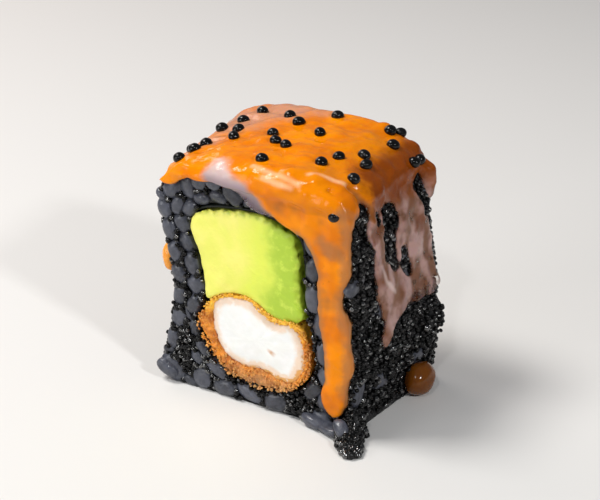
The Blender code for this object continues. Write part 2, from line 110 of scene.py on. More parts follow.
# Each lamp: name, direction from the roll, distance, width and height (metres), power, colour
LAMPS = [("key", (-0.45, -0.2, 0.9), 0.45, (0.14, 0.14), 1.5, (1.0, 0.98, 0.95)),
         ("back_left", (-0.95, 0.42, 0.42), 0.5, (0.26, 0.2), 0.45, (1.0, 0.86, 0.8)),
         ("front_fill", (-0.55, -1.0, 0.3), 0.7, (0.3, 0.3), 1.4, (1, 1, 1)),
         ("sparkle", (0.25, -0.75, 0.75), 0.6, (0.03, 0.03), 0.4, (1, 1, 1)),
         ("right_sparkle", (0.9, -0.35, 0.6), 0.6, (0.05, 0.05), 1.3, (1, 1, 1))]

bm = bmesh.new()
bmesh.ops.create_grid(bm, x_segments=1, y_segments=1, size=TABLE_SIZE / 2)
table_mesh = bpy.data.meshes.new("table")
bm.to_mesh(table_mesh)
bm.free()
table = add_object("table", table_mesh)

paper = bpy.data.materials.new("paper")
paper.use_nodes = True
paper_shader = paper.node_tree.nodes["Principled BSDF"]
paper_shader.inputs["Base Color"].default_value = (*FLOOR_COLOUR, 1)
paper_shader.inputs["Roughness"].default_value = FLOOR_ROUGHNESS
table_mesh.materials.append(paper)


def soft_box(name, direction, distance, size, power, colour):
    """An area lamp that hangs in one direction from the roll and points at it."""
    lamp_data = bpy.data.lights.new(name, "AREA")
    lamp_data.shape = "RECTANGLE"
    lamp_data.size, lamp_data.size_y = size
    lamp_data.energy = power
    lamp_data.color = colour
    lamp = add_object(name, lamp_data)
    away = Vector(direction).normalized()
    lamp.location = LOOK_AT + away * distance
    lamp.rotation_mode = "QUATERNION"
    lamp.rotation_quaternion = away.to_track_quat("Z", "Y")


for lamp_settings in LAMPS:
    soft_box(*lamp_settings)

world = bpy.data.worlds.new("room")
bpy.context.scene.world = world
world.use_nodes = True
background = world.node_tree.nodes["Background"]
background.inputs["Color"].default_value = (*ROOM_COLOUR, 1)
background.inputs["Strength"].default_value = ROOM_LIGHT
bpy.context.scene.view_settings.view_transform = "Standard"

# %% [markdown]
# ## Shared tools: outlines and pieces
#
# The roll is a loft between two outlines, one at each cut. An outline is a few corner
# points with a smooth curve through them, so moving one point reshapes the whole roll.
# All sizes below are in millimetres, and a piece is scaled to metres when it is
# finished. Its object stays at the origin, with its place in its mesh.

# %% Outlines of the roll and its fillings
SEED = 31
LENGTH = 26.0
HALF = LENGTH / 2
FACE_DEPTH = 1.0
BARE = HALF - FACE_DEPTH
ARCH_STEPS = 600

FRONT_OUTLINE = [(-17.6, 0.0), (-18.2, 3.5), (-16.8, 10.0), (-15.8, 17.0), (-16.4, 24.0),
                 (-18.0, 30.0), (-17.4, 35.0), (-13.0, 38.4), (-6.5, 40.2), (2.0, 41.0),
                 (10.0, 40.9), (16.3, 39.2), (18.9, 34.5), (19.2, 25.0), (19.0, 14.0),
                 (19.2, 5.0), (18.4, 0.0)]
BACK_OUTLINE = [(-18.0, 0.0), (-18.6, 3.5), (-18.2, 10.0), (-17.8, 17.0), (-18.0, 24.0),
                (-18.6, 30.0), (-18.6, 36.0), (-15.6, 40.2), (-8.5, 41.8), (1.0, 42.2),
                (9.0, 41.6), (15.4, 39.0), (18.2, 34.0), (19.5, 25.0), (21.7, 12.5),
                (20.9, 4.5), (20.0, 0.0)]
NORI_OUTLINE = [(-13.0, 28.9), (-11.5, 31.9), (-8.2, 33.5), (-2.6, 34.4), (2.0, 34.5),
                (6.4, 33.4), (9.3, 31.7), (10.1, 28.0), (10.4, 23.4), (10.9, 18.6),
                (11.8, 14.4), (12.3, 10.2), (11.2, 6.3), (7.8, 3.9), (3.6, 2.9),
                (-0.8, 2.7), (-5.0, 3.2), (-7.7, 5.0), (-10.0, 7.8), (-11.7, 11.0),
                (-11.7, 14.4), (-10.8, 18.2), (-11.5, 22.0), (-12.4, 25.4)]


def smooth_curve(points, closed):
    """Points close together on a smooth curve through the given ones."""
    pts = [np.array(p, float) for p in points]
    count = len(pts)
    fine = []
    for i in range(count if closed else count - 1):
        if closed:
            a, b, c, d = (pts[(i + k) % count] for k in (-1, 0, 1, 2))
        else:
            a, b, c, d = (pts[min(max(i + k, 0), count - 1)] for k in (-1, 0, 1, 2))
        for t in np.arange(0, 1, 0.05):
            fine.append(0.5 * (2 * b + (c - a) * t + (2 * a - 5 * b + 4 * c - d) * t * t
                               + (3 * b - a - 3 * c + d) * t ** 3))
    if not closed:
        fine.append(pts[-1])
    return np.array(fine)


def evenly(curve, count, closed):
    """The curve again as count points at even steps along it."""
    line = np.vstack([curve, curve[:1]]) if closed else curve
    way = np.concatenate([[0], np.cumsum(np.linalg.norm(np.diff(line, axis=0), axis=1))])
    stops = np.linspace(0, way[-1], count, endpoint=not closed)
    return np.column_stack([np.interp(stops, way, line[:, k]) for k in range(line.shape[1])])


def closed_outline(points, count):
    return evenly(smooth_curve(points, True), count, True)


def outward(loop):
    """Unit normals of a loop that runs clockwise in x and z."""
    run = np.roll(loop, -1, axis=0) - np.roll(loop, 1, axis=0)
    run /= np.maximum(np.linalg.norm(run, axis=1), 1e-9)[:, None]
    return np.column_stack([-run[:, 1], run[:, 0]])


def grown(loop, distance):
    return loop + outward(loop) * distance


front_arch = evenly(smooth_curve(FRONT_OUTLINE, False), ARCH_STEPS, False)
back_arch = evenly(smooth_curve(BACK_OUTLINE, False), ARCH_STEPS, False)


def arch(y, count):
    """The rolled side's outline at y, from the left foot over the top to the right foot."""
    share = y / LENGTH + 0.5
    return evenly(front_arch * (1 - share) + back_arch * share, count, False)


def section(y, side_count, base_count, growth=0.0):
    """The whole outline at y, its flat base included, moved outwards by growth."""
    side = arch(y, side_count)
    base = np.linspace(side[-1], side[0], base_count + 2)[1:-1]
    loop = grown(np.vstack([side, base]), growth)
    loop[:, 1] = np.maximum(loop[:, 1], 0.0)
    loop[side_count:, 1] = 0.0
    return loop


def ring_at(loop, y):
    return [(x, y, z) for x, z in loop]


print("arch", round(float(np.linalg.norm(np.diff(front_arch, axis=0), axis=1).sum()), 1), "mm long")

# %% Loft, finish and copy
def loft(rings, closed=False):
    """Skins ring after ring of points: the first is drawn, the others are extruded from it."""
    bm = bmesh.new()
    verts = [bm.verts.new(p) for p in rings[0]]
    edges = [bm.edges.new(pair) for pair in zip(verts, verts[1:] + verts[:1])]
    first = list(edges)
    for ring in rings[1:]:
        place = {vert: i for i, vert in enumerate(verts)}
        made = bmesh.ops.extrude_edge_only(bm, edges=edges)["geom"]
        edges = [part for part in made if isinstance(part, bmesh.types.BMEdge)]
        for vert in [part for part in made if isinstance(part, bmesh.types.BMVert)]:
            old = next(e.other_vert(vert) for e in vert.link_edges if e.other_vert(vert) in place)
            i = place[old]
            verts[i] = vert
            vert.co = ring[i]
    if closed:
        bmesh.ops.remove_doubles(bm, verts=bm.verts, dist=1e-4)
    else:
        bmesh.ops.edgeloop_fill(bm, edges=first)
        bmesh.ops.edgeloop_fill(bm, edges=edges)
    bmesh.ops.recalc_face_normals(bm, faces=bm.faces)
    return bm


def mark(mesh, name, values):
    """Stores one number for each vertex, for a finish to read."""
    made = mesh.attributes.new(name, "FLOAT", "POINT")
    made.data.foreach_set("value", np.asarray(values, np.float32))


def points_of(mesh):
    """The vertices in millimetres."""
    flat = np.empty(len(mesh.vertices) * 3, np.float32)
    mesh.vertices.foreach_get("co", flat)
    return flat.reshape(-1, 3) / MM


def settle(name, mesh, finish, smooth=True):
    """Gives a mesh its finish and its place: it rides on the one body."""
    mesh.materials.append(finish)
    if smooth:
        mesh.shade_smooth()
    obj = add_object(name, mesh)
    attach(obj, "root")
    print(name, len(mesh.polygons), "faces")
    return obj


def finish_piece(name, bm, finish):
    """A bmesh drawn in millimetres becomes a piece in metres."""
    bmesh.ops.scale(bm, vec=(MM, MM, MM), verts=bm.verts)
    mesh = bpy.data.meshes.new(name)
    bm.to_mesh(mesh)
    bm.free()
    return settle(name, mesh, finish)


def shape_arrays(bm):
    """The vertices and triangles of a small shape, as arrays."""
    bmesh.ops.triangulate(bm, faces=bm.faces)
    bm.verts.ensure_lookup_table()
    points = np.array([v.co for v in bm.verts])
    corners = np.array([[v.index for v in f.verts] for f in bm.faces])
    bm.free()
    return points, corners


def fine_ball(levels):
    bm = bmesh.new()
    bmesh.ops.create_icosphere(bm, subdivisions=levels, radius=1)
    return shape_arrays(bm)


def joined_copies(name, shapes, places, finish, tints, smooth=True):
    """One mesh of many small shapes; a place is (which shape, 3x3 matrix, centre)."""
    all_points, all_corners, all_tints = [], [], []
    start = 0
    for (which, turn, centre), tint in zip(places, tints):
        points, corners = shapes[which]
        all_points.append(points @ turn.T + centre)
        all_corners.append(corners + start)
        all_tints.append(np.full(len(points), tint))
        start += len(points)
    mesh = bpy.data.meshes.new(name)
    where = np.concatenate(all_points)
    where[:, 2] = np.maximum(where[:, 2], 0.0)
    mesh.from_pydata(where * MM, [], np.concatenate(all_corners))
    mark(mesh, "tint", np.concatenate(all_tints))
    return settle(name, mesh, finish, smooth)


def turned(angles, sizes):
    """A 3x3 matrix that first scales by sizes and then turns by Euler angles."""
    return np.array(Euler(angles).to_matrix()) @ np.diag(sizes)


# %% [markdown]
# ## Finishes
#
# Every finish is one Principled shader with a few nodes before it. A small helper adds
# and links nodes, so that each finish reads as a short recipe: which pattern, which
# two colours, how rough, and how deep light goes in. Wet food is glossy, and light
# scatters inside it, so most of these use some subsurface scattering.

# %% Helpers for finishes
class Recipe:
    """A material and a short way to add nodes to it."""

    def __init__(self, name):
        self.material = bpy.data.materials.new(name)
        self.material.use_nodes = True
        self.tree = self.material.node_tree
        self.shader = self.tree.nodes["Principled BSDF"]
        self.place = self.node("ShaderNodeTexCoord").outputs["Object"]

    def node(self, kind, **settings):
        made = self.tree.nodes.new(kind)
        for key, value in settings.items():
            setattr(made, key, value)
        return made

    def feed(self, socket, value):
        if isinstance(value, bpy.types.NodeSocket):
            self.tree.links.new(value, socket)
        else:
            socket.default_value = value

    def set(self, **values):
        for key, value in values.items():
            self.feed(self.shader.inputs[key.replace("_", " ")], value)

    def noise(self, size_mm, detail=3.0, roughness=0.55):
        """A noise pattern whose blobs are about size_mm across."""
        made = self.node("ShaderNodeTexNoise")
        self.feed(made.inputs["Vector"], self.place)
        made.inputs["Scale"].default_value = 1 / (size_mm * MM)
        made.inputs["Detail"].default_value = detail
        made.inputs["Roughness"].default_value = roughness
        return made.outputs["Fac"]

    def attribute(self, name):
        return self.node("ShaderNodeAttribute", attribute_name=name).outputs["Fac"]

    def spread(self, value, low, high, to_low=0.0, to_high=1.0):
        """Maps low..high smoothly to to_low..to_high."""
        made = self.node("ShaderNodeMapRange", interpolation_type="SMOOTHSTEP")
        self.feed(made.inputs["Value"], value)
        for key, number in (("From Min", low), ("From Max", high), ("To Min", to_low),
                            ("To Max", to_high)):
            made.inputs[key].default_value = number
        return made.outputs["Result"]

    def mix(self, share, one, two):
        """Colour one, turning to colour two as share goes from 0 to 1."""
        made = self.node("ShaderNodeMix", data_type="RGBA")
        self.feed(made.inputs["Factor"], share)
        for socket, colour in ((made.inputs["A"], one), (made.inputs["B"], two)):
            self.feed(socket, (*colour, 1) if isinstance(colour, tuple) else colour)
        return made.outputs["Result"]

    def maths(self, operation, one, two):
        made = self.node("ShaderNodeMath", operation=operation)
        self.feed(made.inputs[0], one)
        self.feed(made.inputs[1], two)
        return made.outputs["Value"]

    def plus(self, one, two):
        return self.maths("ADD", one, two)

    def times(self, one, two):
        return self.maths("MULTIPLY", one, two)

    def axis(self, letter):
        """The object's own x, y or z in millimetres."""
        parts = self.node("ShaderNodeSeparateXYZ")
        self.feed(parts.inputs[0], self.place)
        return self.times(parts.outputs[letter], 1 / MM)

    def bump(self, height, depth_mm):
        made = self.node("ShaderNodeBump")
        made.inputs["Distance"].default_value = depth_mm * MM
        self.feed(made.inputs["Height"], height)
        self.feed(self.shader.inputs["Normal"], made.outputs["Normal"])

    def depth_of_light(self, weight, depth_mm, radius):
        self.shader.subsurface_method = "RANDOM_WALK"
        self.set(Subsurface_Weight=weight, Subsurface_Scale=depth_mm * MM, Subsurface_Radius=radius)

    def gloss(self, roughness, coat=0.0, coat_roughness=0.05):
        self.set(Roughness=roughness, Coat_Weight=coat, Coat_Roughness=coat_roughness)


# %% Black rice, roe and nori
def rice_finish():
    """Cooked black rice: slate where the light falls, almost black between the grains."""
    made = Recipe("black_rice")
    mottle = made.noise(1.1)
    tint = made.times(made.attribute("tint"), 0.7)
    share = made.plus(tint, made.spread(mottle, 0.3, 0.7, -0.05, 0.35))
    made.set(Base_Color=made.mix(share, (0.017, 0.019, 0.027), (0.100, 0.107, 0.138)))
    made.set(Specular_IOR_Level=0.35)
    made.gloss(made.spread(mottle, 0.35, 0.65, 0.3, 0.5), 0.3, 0.12)
    made.depth_of_light(0.15, 0.5, (1.0, 0.9, 0.9))
    made.bump(made.noise(0.8, 4.0), 0.16)
    return made.material


def core_finish():
    """What shows between the grains and the roe: wet and nearly black."""
    made = Recipe("rice_core")
    colour = made.mix(made.noise(1.5), (0.002, 0.002, 0.002), (0.012, 0.012, 0.014))
    made.set(Base_Color=colour, IOR=1.35)
    made.gloss(0.3)
    made.bump(made.noise(0.6, 4.0), 0.25)
    return made.material


def roe_finish(name, shine, roughness, index=1.5):
    """Fish roe dyed black. Most beads are matt, and a few wet ones carry the sparkles."""
    made = Recipe(name)
    colour = made.mix(made.attribute("tint"), (0.001, 0.001, 0.001), (0.010, 0.0095, 0.010))
    made.set(Base_Color=colour)
    made.set(IOR=index, Specular_IOR_Level=shine)
    made.gloss(roughness)
    return made.material


def nori_finish():
    made = Recipe("nori")
    colour = made.mix(made.noise(0.8, 5.0), (0.002, 0.003, 0.002), (0.008, 0.012, 0.008))
    made.set(Base_Color=colour, IOR=1.35)
    made.gloss(0.45)
    made.bump(made.noise(0.35, 4.0), 0.1)
    return made.material


GRAINS = rice_finish()
CORE = core_finish()
ROE = roe_finish("black_roe", 0.2, 0.22)
WET_ROE = roe_finish("wet_roe", 1.0, 0.05, 1.7)
BEADS = roe_finish("large_roe", 0.3, 0.04)
NORI = nori_finish()

# %% [markdown]
# ## The sauce
#
# The sauce is a thick drape over the top with one long drip on the front cut and a thin
# torn veil on the right side. A liquid is hard to draw by hand, so it is built as rough
# lumps that overlap, such as chains of balls where it runs, and a voxel remesh melts
# them into one skin. Smoothing then pulls that skin tight, as surface tension would.
# A cut with the roll's own form leaves the under side lying on the rice. The fold where
# the top meets the right side is smoothed longer than the rest, because the sauce is
# broad there and an edge would look like cloth.

# %% [markdown]
# ### Sheets on the front cut
#
# The thick sheet ends in a wavy lower edge and one long drip, and a milky film hangs
# below it. Each is drawn as an outline on the cut and then given a small thickness. It
# starts a little inside the rice, so that nothing shows between the two.

# %% Draw the sheets, in millimetres
FRONT_SHEET = 0.85
FILM_SHEET = 0.3
SHEET_SINK = 0.6
# Lower edge of the sheet on the front cut, (x, z), from the left shoulder to the right edge
FRONT_EDGE = [(-17.4, 36.2), (-14.6, 35.9), (-11.8, 37.6), (-9.0, 39.2), (-5.5, 40.1), (-2.2, 40.1),
              (-0.6, 39.6), (1.3, 38.2), (3.1, 36.3), (5.4, 34.5), (8.1, 33.2), (10.2, 32.2),
              (11.9, 30.2), (12.6, 27.1), (12.8, 22.9), (13.2, 17.9), (13.9, 14.6), (14.0, 9.3),
              (13.7, 6.4), (14.2, 4.2), (15.7, 2.9), (17.0, 3.5), (17.8, 5.4), (18.2, 8.0),
              (18.7, 10.7), (19.3, 13.0), (18.5, 16.0), (18.7, 19.0), (17.2, 22.5), (17.4, 24.2),
              (18.3, 27.5), (18.5, 31.0), (18.6, 34.4)]
# The milky film that hangs below it
FILM_EDGE = [(-7.6, 40.4), (-6.5, 38.6), (-4.8, 37.6), (-2.3, 37.2), (-0.2, 35.3), (2.4, 34.6),
             (4.6, 34.4), (3.0, 36.9), (1.0, 39.4), (-2.0, 40.8), (-5.0, 41.0)]


def orange_outline():
    """The thick sheet on the front cut, closed over the top edge."""
    edge = evenly(smooth_curve(FRONT_EDGE, False), 120, False)
    top = [(x, 40.2) for x in np.linspace(17.0, -12.5, 20)]
    return [*[tuple(p) for p in edge], (18.6, 36.5), *top, (-15.5, 38.0)]


def add_sheet(bm, outline, thick):
    """A flat sheet on the front cut, with its outline given as (x, z)."""
    verts = [bm.verts.new((x, -HALF + SHEET_SINK, z)) for x, z in outline]
    face = bm.faces.new(verts)
    made = bmesh.ops.extrude_face_region(bm, geom=[face])["geom"]
    moved = [part for part in made if isinstance(part, bmesh.types.BMVert)]
    bmesh.ops.translate(bm, verts=moved, vec=(0, -SHEET_SINK - thick, 0))
    around = list({f for v in verts + moved for f in v.link_faces})
    bmesh.ops.recalc_face_normals(bm, faces=around)


print("points round the thick sheet", len(orange_outline()))

# %% [markdown]
# ### Runs
#
# A run is a chain of balls that overlap and follow the bare surface down. They sway and
# change in size with noise, so that the run bulges and narrows as it would by itself.

# %% Follow the surface down
PROBE_COUNT = 160
RUN_SINK = {"front": 0.52, "right": 0.62, "left": 0.5, "back": 0.5}
RUN_SWAY = {"front": 0.25, "right": 1.6, "left": 1.2, "back": 1.2}
# Runs are (place, top z, bottom z, half width), the place being x on a cut and y on a side
FRONT_RUNS = [(3.0, 40.5, 39.0, 2.2), (7.4, 40.5, 36.6, 2.6), (11.4, 40.0, 35.4, 2.8),
              (15.6, 38.0, 28.5, 2.9), (15.2, 29.5, 18.5, 2.2), (16.1, 19.5, 6.2, 2.6)]
RIGHT_RUNS = [(-7.4, 38.5, 33.0, 1.3), (-6.0, 29.0, 22.0, 1.2), (-3.7, 24.0, 13.6, 1.5),
              (3.4, 38.5, 29.0, 1.5), (6.2, 38.5, 20.0, 1.6), (9.4, 29.0, 19.0, 1.5)]
LEFT_RUNS = [(-10.4, 35.5, 34.0, 1.5), (-7.0, 36.5, 29.0, 2.2), (-3.0, 36.5, 33.0, 2.2),
             (1.0, 37.0, 27.0, 2.3), (5.0, 37.0, 33.0, 2.3), (9.5, 37.0, 24.0, 2.3)]
BACK_RUNS = [(-14.0, 38.0, 35.0, 2.2), (-9.0, 39.5, 30.0, 2.4), (-4.0, 40.5, 36.5, 2.4),
             (1.0, 41.0, 27.0, 2.5), (5.5, 41.0, 36.0, 2.4), (10.0, 41.0, 32.0, 2.5),
             (14.6, 39.0, 22.5, 2.4), (17.6, 37.0, 33.0, 1.8)]


def surface_place(side, place, z):
    """Point of the roll's bare surface and the way out of it."""
    if side in ("front", "back"):
        sign = -1 if side == "front" else 1
        return np.array([place, sign * HALF, z]), np.array([0, sign, 0.0])
    loop = section(place, PROBE_COUNT, 2)
    normals = outward(loop)
    half = [i for i in range(PROBE_COUNT) if (loop[i, 0] > 0) == (side == "right")]
    best = min(half, key=lambda i: abs(loop[i, 1] - z))
    at, normal = loop[best], normals[best]
    return np.array([at[0], place, at[1]]), np.array([normal[0], 0, normal[1]])


def run_of_sauce(side, place, top, bottom, half_width):
    """A run that hangs down one face, as a chain of overlapping balls (centre, radius)."""
    steps = max(2, int((top - bottom) / (half_width * 0.25)) + 1)
    balls = []
    for k in range(steps):
        share = k / (steps - 1)
        z = top + (bottom - top) * share
        sway = RUN_SWAY[side] * noise.noise(Vector((place, z * 0.22, 3.0)))
        at, normal = surface_place(side, place + sway, z)
        radius = half_width * (1.0 + 0.2 * noise.noise(Vector((place * 3, z * 0.3, 7.0))))
        balls.append((at - normal * radius * RUN_SINK[side], radius))
    return balls


def add_balls(bm, balls):
    """Copies one ball to many places: much quicker than making each with its own operator."""
    points, corners = fine_ball(2)
    where = np.concatenate([points * radius + centre for centre, radius in balls])
    faces = np.concatenate([corners + k * len(points) for k in range(len(balls))])
    mesh = bpy.data.meshes.new("balls")
    mesh.from_pydata(where, [], faces)
    bm.from_mesh(mesh)
    bpy.data.meshes.remove(mesh)


print("runs", len(FRONT_RUNS + RIGHT_RUNS + LEFT_RUNS + BACK_RUNS))

# %% [markdown]
# ### The torn veil
#
# On the right side the sauce is thin and torn. A grid of points lies over that side, and
# a mask keeps those inside the veil's outline and outside its holes. Noise warps the
# mask, so that the edges look torn instead of cut.

# %% Tear the veil
# The veil on the right side as (y, z), and the holes torn in it
VEIL_EDGE = [(-12.8, 41.5), (-10.6, 39.6), (-8.4, 37.0), (-8.8, 35.3), (-9.3, 33.6), (-8.1, 31.1),
             (-6.9, 28.2), (-7.9, 26.0), (-6.5, 23.4), (-5.4, 20.2), (-5.7, 17.5), (-5.3, 14.1),
             (-4.1, 12.4), (-2.3, 13.0), (-1.6, 15.3), (1.0, 16.2), (2.6, 17.2), (5.0, 17.0),
             (7.7, 16.5), (10.6, 16.4), (12.4, 18.0), (12.0, 21.0), (11.1, 23.9), (12.0, 25.7),
             (10.6, 28.8), (8.6, 31.3), (8.0, 33.5), (8.0, 36.0), (11.0, 37.5), (13.2, 38.5),
             (13.2, 41.5)]
VEIL_HOLES = [[(-3.2, 35.6), (-0.2, 34.9), (0.7, 32.4), (-0.5, 31.0), (-1.0, 29.1), (-0.3, 26.8),
               (0.3, 24.4), (-2.2, 26.0), (-4.2, 29.0), (-4.5, 31.4), (-4.2, 33.6)],
              [(1.3, 27.3), (3.2, 25.8), (4.0, 23.4), (2.6, 22.4), (1.3, 24.7)],
              [(-5.9, 36.2), (-5.0, 36.0), (-5.1, 33.2), (-5.8, 33.8)]]
VEIL_STEP = 0.4
VEIL_SINK = 0.7


def inside_many(loop, points):
    """Which points (x, z) lie inside a closed loop."""
    found = np.zeros(len(points), bool)
    for (x1, z1), (x2, z2) in zip(loop, np.roll(loop, -1, axis=0)):
        if z1 == z2:
            continue
        spans = (z1 > points[:, 1]) != (z2 > points[:, 1])
        found ^= spans & (points[:, 0] < x1 + (points[:, 1] - z1) * (x2 - x1) / (z2 - z1))
    return found


def add_veil(bm):
    """The torn veil: a thin sheet over the right side, kept only where its mask says so."""
    across = np.arange(-13.0, 13.3, VEIL_STEP)
    down = np.arange(11.0, 41.4, VEIL_STEP)
    top, under = {}, {}

    def ragged(y, z, far):
        broad, fine = Vector((y, z, far)) / 2.2, Vector((y, z, far + 5.5))
        return 0.8 * noise.noise(broad) + 0.35 * noise.noise(fine)

    for i, y in enumerate(across):
        loop = section(y, PROBE_COUNT, 2)
        normals = outward(loop)
        side = np.arange(90, PROBE_COUNT)
        side = side[np.argsort(loop[side, 1])]
        for j, z in enumerate(down):
            spot = np.array([[y + ragged(y, z, 0.7), z + ragged(y, z, 30.7)]])
            if not inside_many(np.array(VEIL_EDGE), spot)[0]:
                continue
            if any(inside_many(np.array(hole), spot)[0] for hole in VEIL_HOLES):
                continue
            x = np.interp(z, loop[side, 1], loop[side, 0])
            out = np.array([np.interp(z, loop[side, 1], normals[side, 0]), 0,
                            np.interp(z, loop[side, 1], normals[side, 1])])
            thick = 0.55 + 0.35 * noise.noise(Vector((y, z, 4)) / 3.0)
            at = np.array([x, y, z])
            top[i, j] = bm.verts.new(at + out * thick)
            under[i, j] = bm.verts.new(at - out * VEIL_SINK)
    cells = {(i, j) for i, j in top if {(i + 1, j), (i, j + 1), (i + 1, j + 1)} <= top.keys()}
    made = []
    for i, j in cells:
        corners = [(i, j), (i + 1, j), (i + 1, j + 1), (i, j + 1)]
        made.append(bm.faces.new([top[c] for c in corners]))
        made.append(bm.faces.new([under[c] for c in reversed(corners)]))
        for (di, dj), a, b in (((0, -1), 0, 1), ((1, 0), 1, 2), ((0, 1), 2, 3), ((-1, 0), 3, 0)):
            if (i + di, j + dj) not in cells:
                a, b = corners[a], corners[b]
                made.append(bm.faces.new([top[b], top[a], under[a], under[b]]))
    bmesh.ops.recalc_face_normals(bm, faces=made)
    bmesh.ops.delete(bm, geom=[v for v in bm.verts if not v.link_faces], context="VERTS")


print("holes in the veil", len(VEIL_HOLES))

# %% [markdown]
# ### All the lumps together
#
# The cap over the top is the roll's own outline, grown by the sauce's thickness and cut
# off level below. With the sheets, the runs and the veil it makes one rough heap of
# closed forms, which is all that the remesh needs.

# %% Gather the lumps
SAUCE_THICK = 1.5
CAP_EDGE = 38.2
CAP_STATIONS = 25
# Where the sauce left the right shoulder bare: x from, y from, y to, z below and push inwards
BARE_SHOULDER = (15.5, -13.3, -8.8, 41.0, 2.6)


def draw_sauce():
    """The rough lumps: a cap over the top, a sheet on the front cut and the runs."""
    rings = []
    for k in range(CAP_STATIONS):
        y = (HALF + SAUCE_THICK) * math.sin(math.pi / 2 * (2 * k / (CAP_STATIONS - 1) - 1))
        depth = max(0.0, abs(y) - (HALF - 2.0)) / (SAUCE_THICK + 2.0)
        inset = (SAUCE_THICK + 1.2) * (1 - math.sqrt(max(0.0, 1 - depth * depth)))
        rings.append(ring_at(section(min(max(y, -HALF), HALF), 90, 6, SAUCE_THICK - inset), y))
    bm = loft(rings)
    everything = bm.verts[:] + bm.edges[:] + bm.faces[:]
    cut = bmesh.ops.bisect_plane(bm, geom=everything, plane_co=(0, 0, CAP_EDGE),
                                 plane_no=(0, 0, -1), clear_outer=True)
    rim = [part for part in cut["geom_cut"] if isinstance(part, bmesh.types.BMEdge)]
    bmesh.ops.edgenet_fill(bm, edges=rim)
    right_of, start, end, below, push = BARE_SHOULDER
    for vert in bm.verts:
        x, y, z = vert.co
        if x > right_of and start < y < end and z < below:
            vert.co.x -= push

    add_veil(bm)
    add_sheet(bm, orange_outline(), FRONT_SHEET)
    add_sheet(bm, [tuple(p) for p in closed_outline(FILM_EDGE, 90)], FILM_SHEET)
    balls = []
    for side, runs in (("front", FRONT_RUNS), ("right", RIGHT_RUNS), ("left", LEFT_RUNS),
                       ("back", BACK_RUNS)):
        for run in runs:
            balls += run_of_sauce(side, *run)
    add_balls(bm, balls)
    return bm


# %% Tools to melt, cut and clean
BLOCK_STATIONS = 44


def apply_modifiers(obj):
    depsgraph = bpy.context.evaluated_depsgraph_get()
    mesh = bpy.data.meshes.new_from_object(obj.evaluated_get(depsgraph))
    obj.modifiers.clear()
    obj.data = mesh


def scratch_object(name, bm):
    """A helper object for a modifier, in millimetres, removed again after use."""
    mesh = bpy.data.meshes.new(name)
    bm.to_mesh(mesh)
    bm.free()
    return add_object(name, mesh)


def melt(bm, cell, rounds):
    """Melts overlapping lumps into one tight skin."""
    obj = scratch_object("melting", bm)
    remesh = obj.modifiers.new("melt", "REMESH")
    remesh.mode = "VOXEL"
    remesh.voxel_size = cell
    tighten = obj.modifiers.new("tighten", "SMOOTH")
    tighten.factor = 0.6
    tighten.iterations = rounds
    apply_modifiers(obj)
    return obj


def roll_block(growth, y_front, y_back, rounding):
    """The roll's plain form as one closed block, for cutting and measuring."""
    rings = []
    for y in np.linspace(y_front, y_back, BLOCK_STATIONS):
        past = max(0.0, rounding - min(y - y_front, y_back - y)) / rounding
        inset = rounding * (1 - math.sqrt(1 - past * past))
        rings.append(ring_at(section(min(max(y, -HALF), HALF), 120, 10, growth - inset), y))
    bm = loft(rings)
    for vert in bm.verts:
        if vert.co.z < 0.5:
            vert.co.z = -2.0
    return bm


def cut_with(obj, cutter):
    cut = obj.modifiers.new("cut", "BOOLEAN")
    cut.operation = "DIFFERENCE"
    cut.solver = "MANIFOLD"
    cut.object = cutter
    apply_modifiers(obj)
    bpy.data.objects.remove(cutter)


def largest_shell(bm):
    """Deletes loose scraps and sealed hollows."""
    left = set(bm.verts)
    shells = []
    while left:
        start = left.pop()
        shell, queue = {start}, [start]
        while queue:
            for edge in queue.pop().link_edges:
                for vert in edge.verts:
                    if vert in left:
                        left.discard(vert)
                        shell.add(vert)
                        queue.append(vert)
        shells.append(shell)
    main = max(shells, key=len)
    bmesh.ops.delete(bm, geom=[v for v in bm.verts if v not in main], context="VERTS")
    return len(shells) - 1


# %% Melt the sauce
SAUCE_CELL = 0.34
MELT_ROUNDS = 10
# The fold over the right shoulder: x from, y from, z from and z to
CREASE = (16.5, -8.5, 35.0, 41.5)
CREASE_ROUNDS = 60
BLOCK_ROUND = 1.6
melted = melt(draw_sauce(), SAUCE_CELL, MELT_ROUNDS)
bm = bmesh.new()
bm.from_mesh(melted.data)
right_of, behind, above, below = CREASE
crease = [v for v in bm.verts if v.co.x > right_of and v.co.y > behind and above < v.co.z < below]
for k in range(CREASE_ROUNDS):
    bmesh.ops.smooth_vert(bm, verts=crease, factor=0.5,
                          use_axis_x=True, use_axis_y=True, use_axis_z=True)
bm.to_mesh(melted.data)
bm.free()
roll_room = roll_block(-0.15, -HALF + 0.25, HALF - 0.15, BLOCK_ROUND)
cut_with(melted, scratch_object("roll_room", roll_room))
bm = bmesh.new()
bm.from_mesh(melted.data)
bpy.data.objects.remove(melted)
bmesh.ops.remove_doubles(bm, verts=bm.verts, dist=1e-3)
print("scraps of sauce", largest_shell(bm))
for vert in bm.verts:
    wave = 0.32 * noise.noise(vert.co / 3.2) + 0.16 * noise.noise(vert.co / 1.3)
    vert.co += vert.normal * wave * min(1.0, max(0.0, vert.co.z / 4.0))
sauce_bm = bm
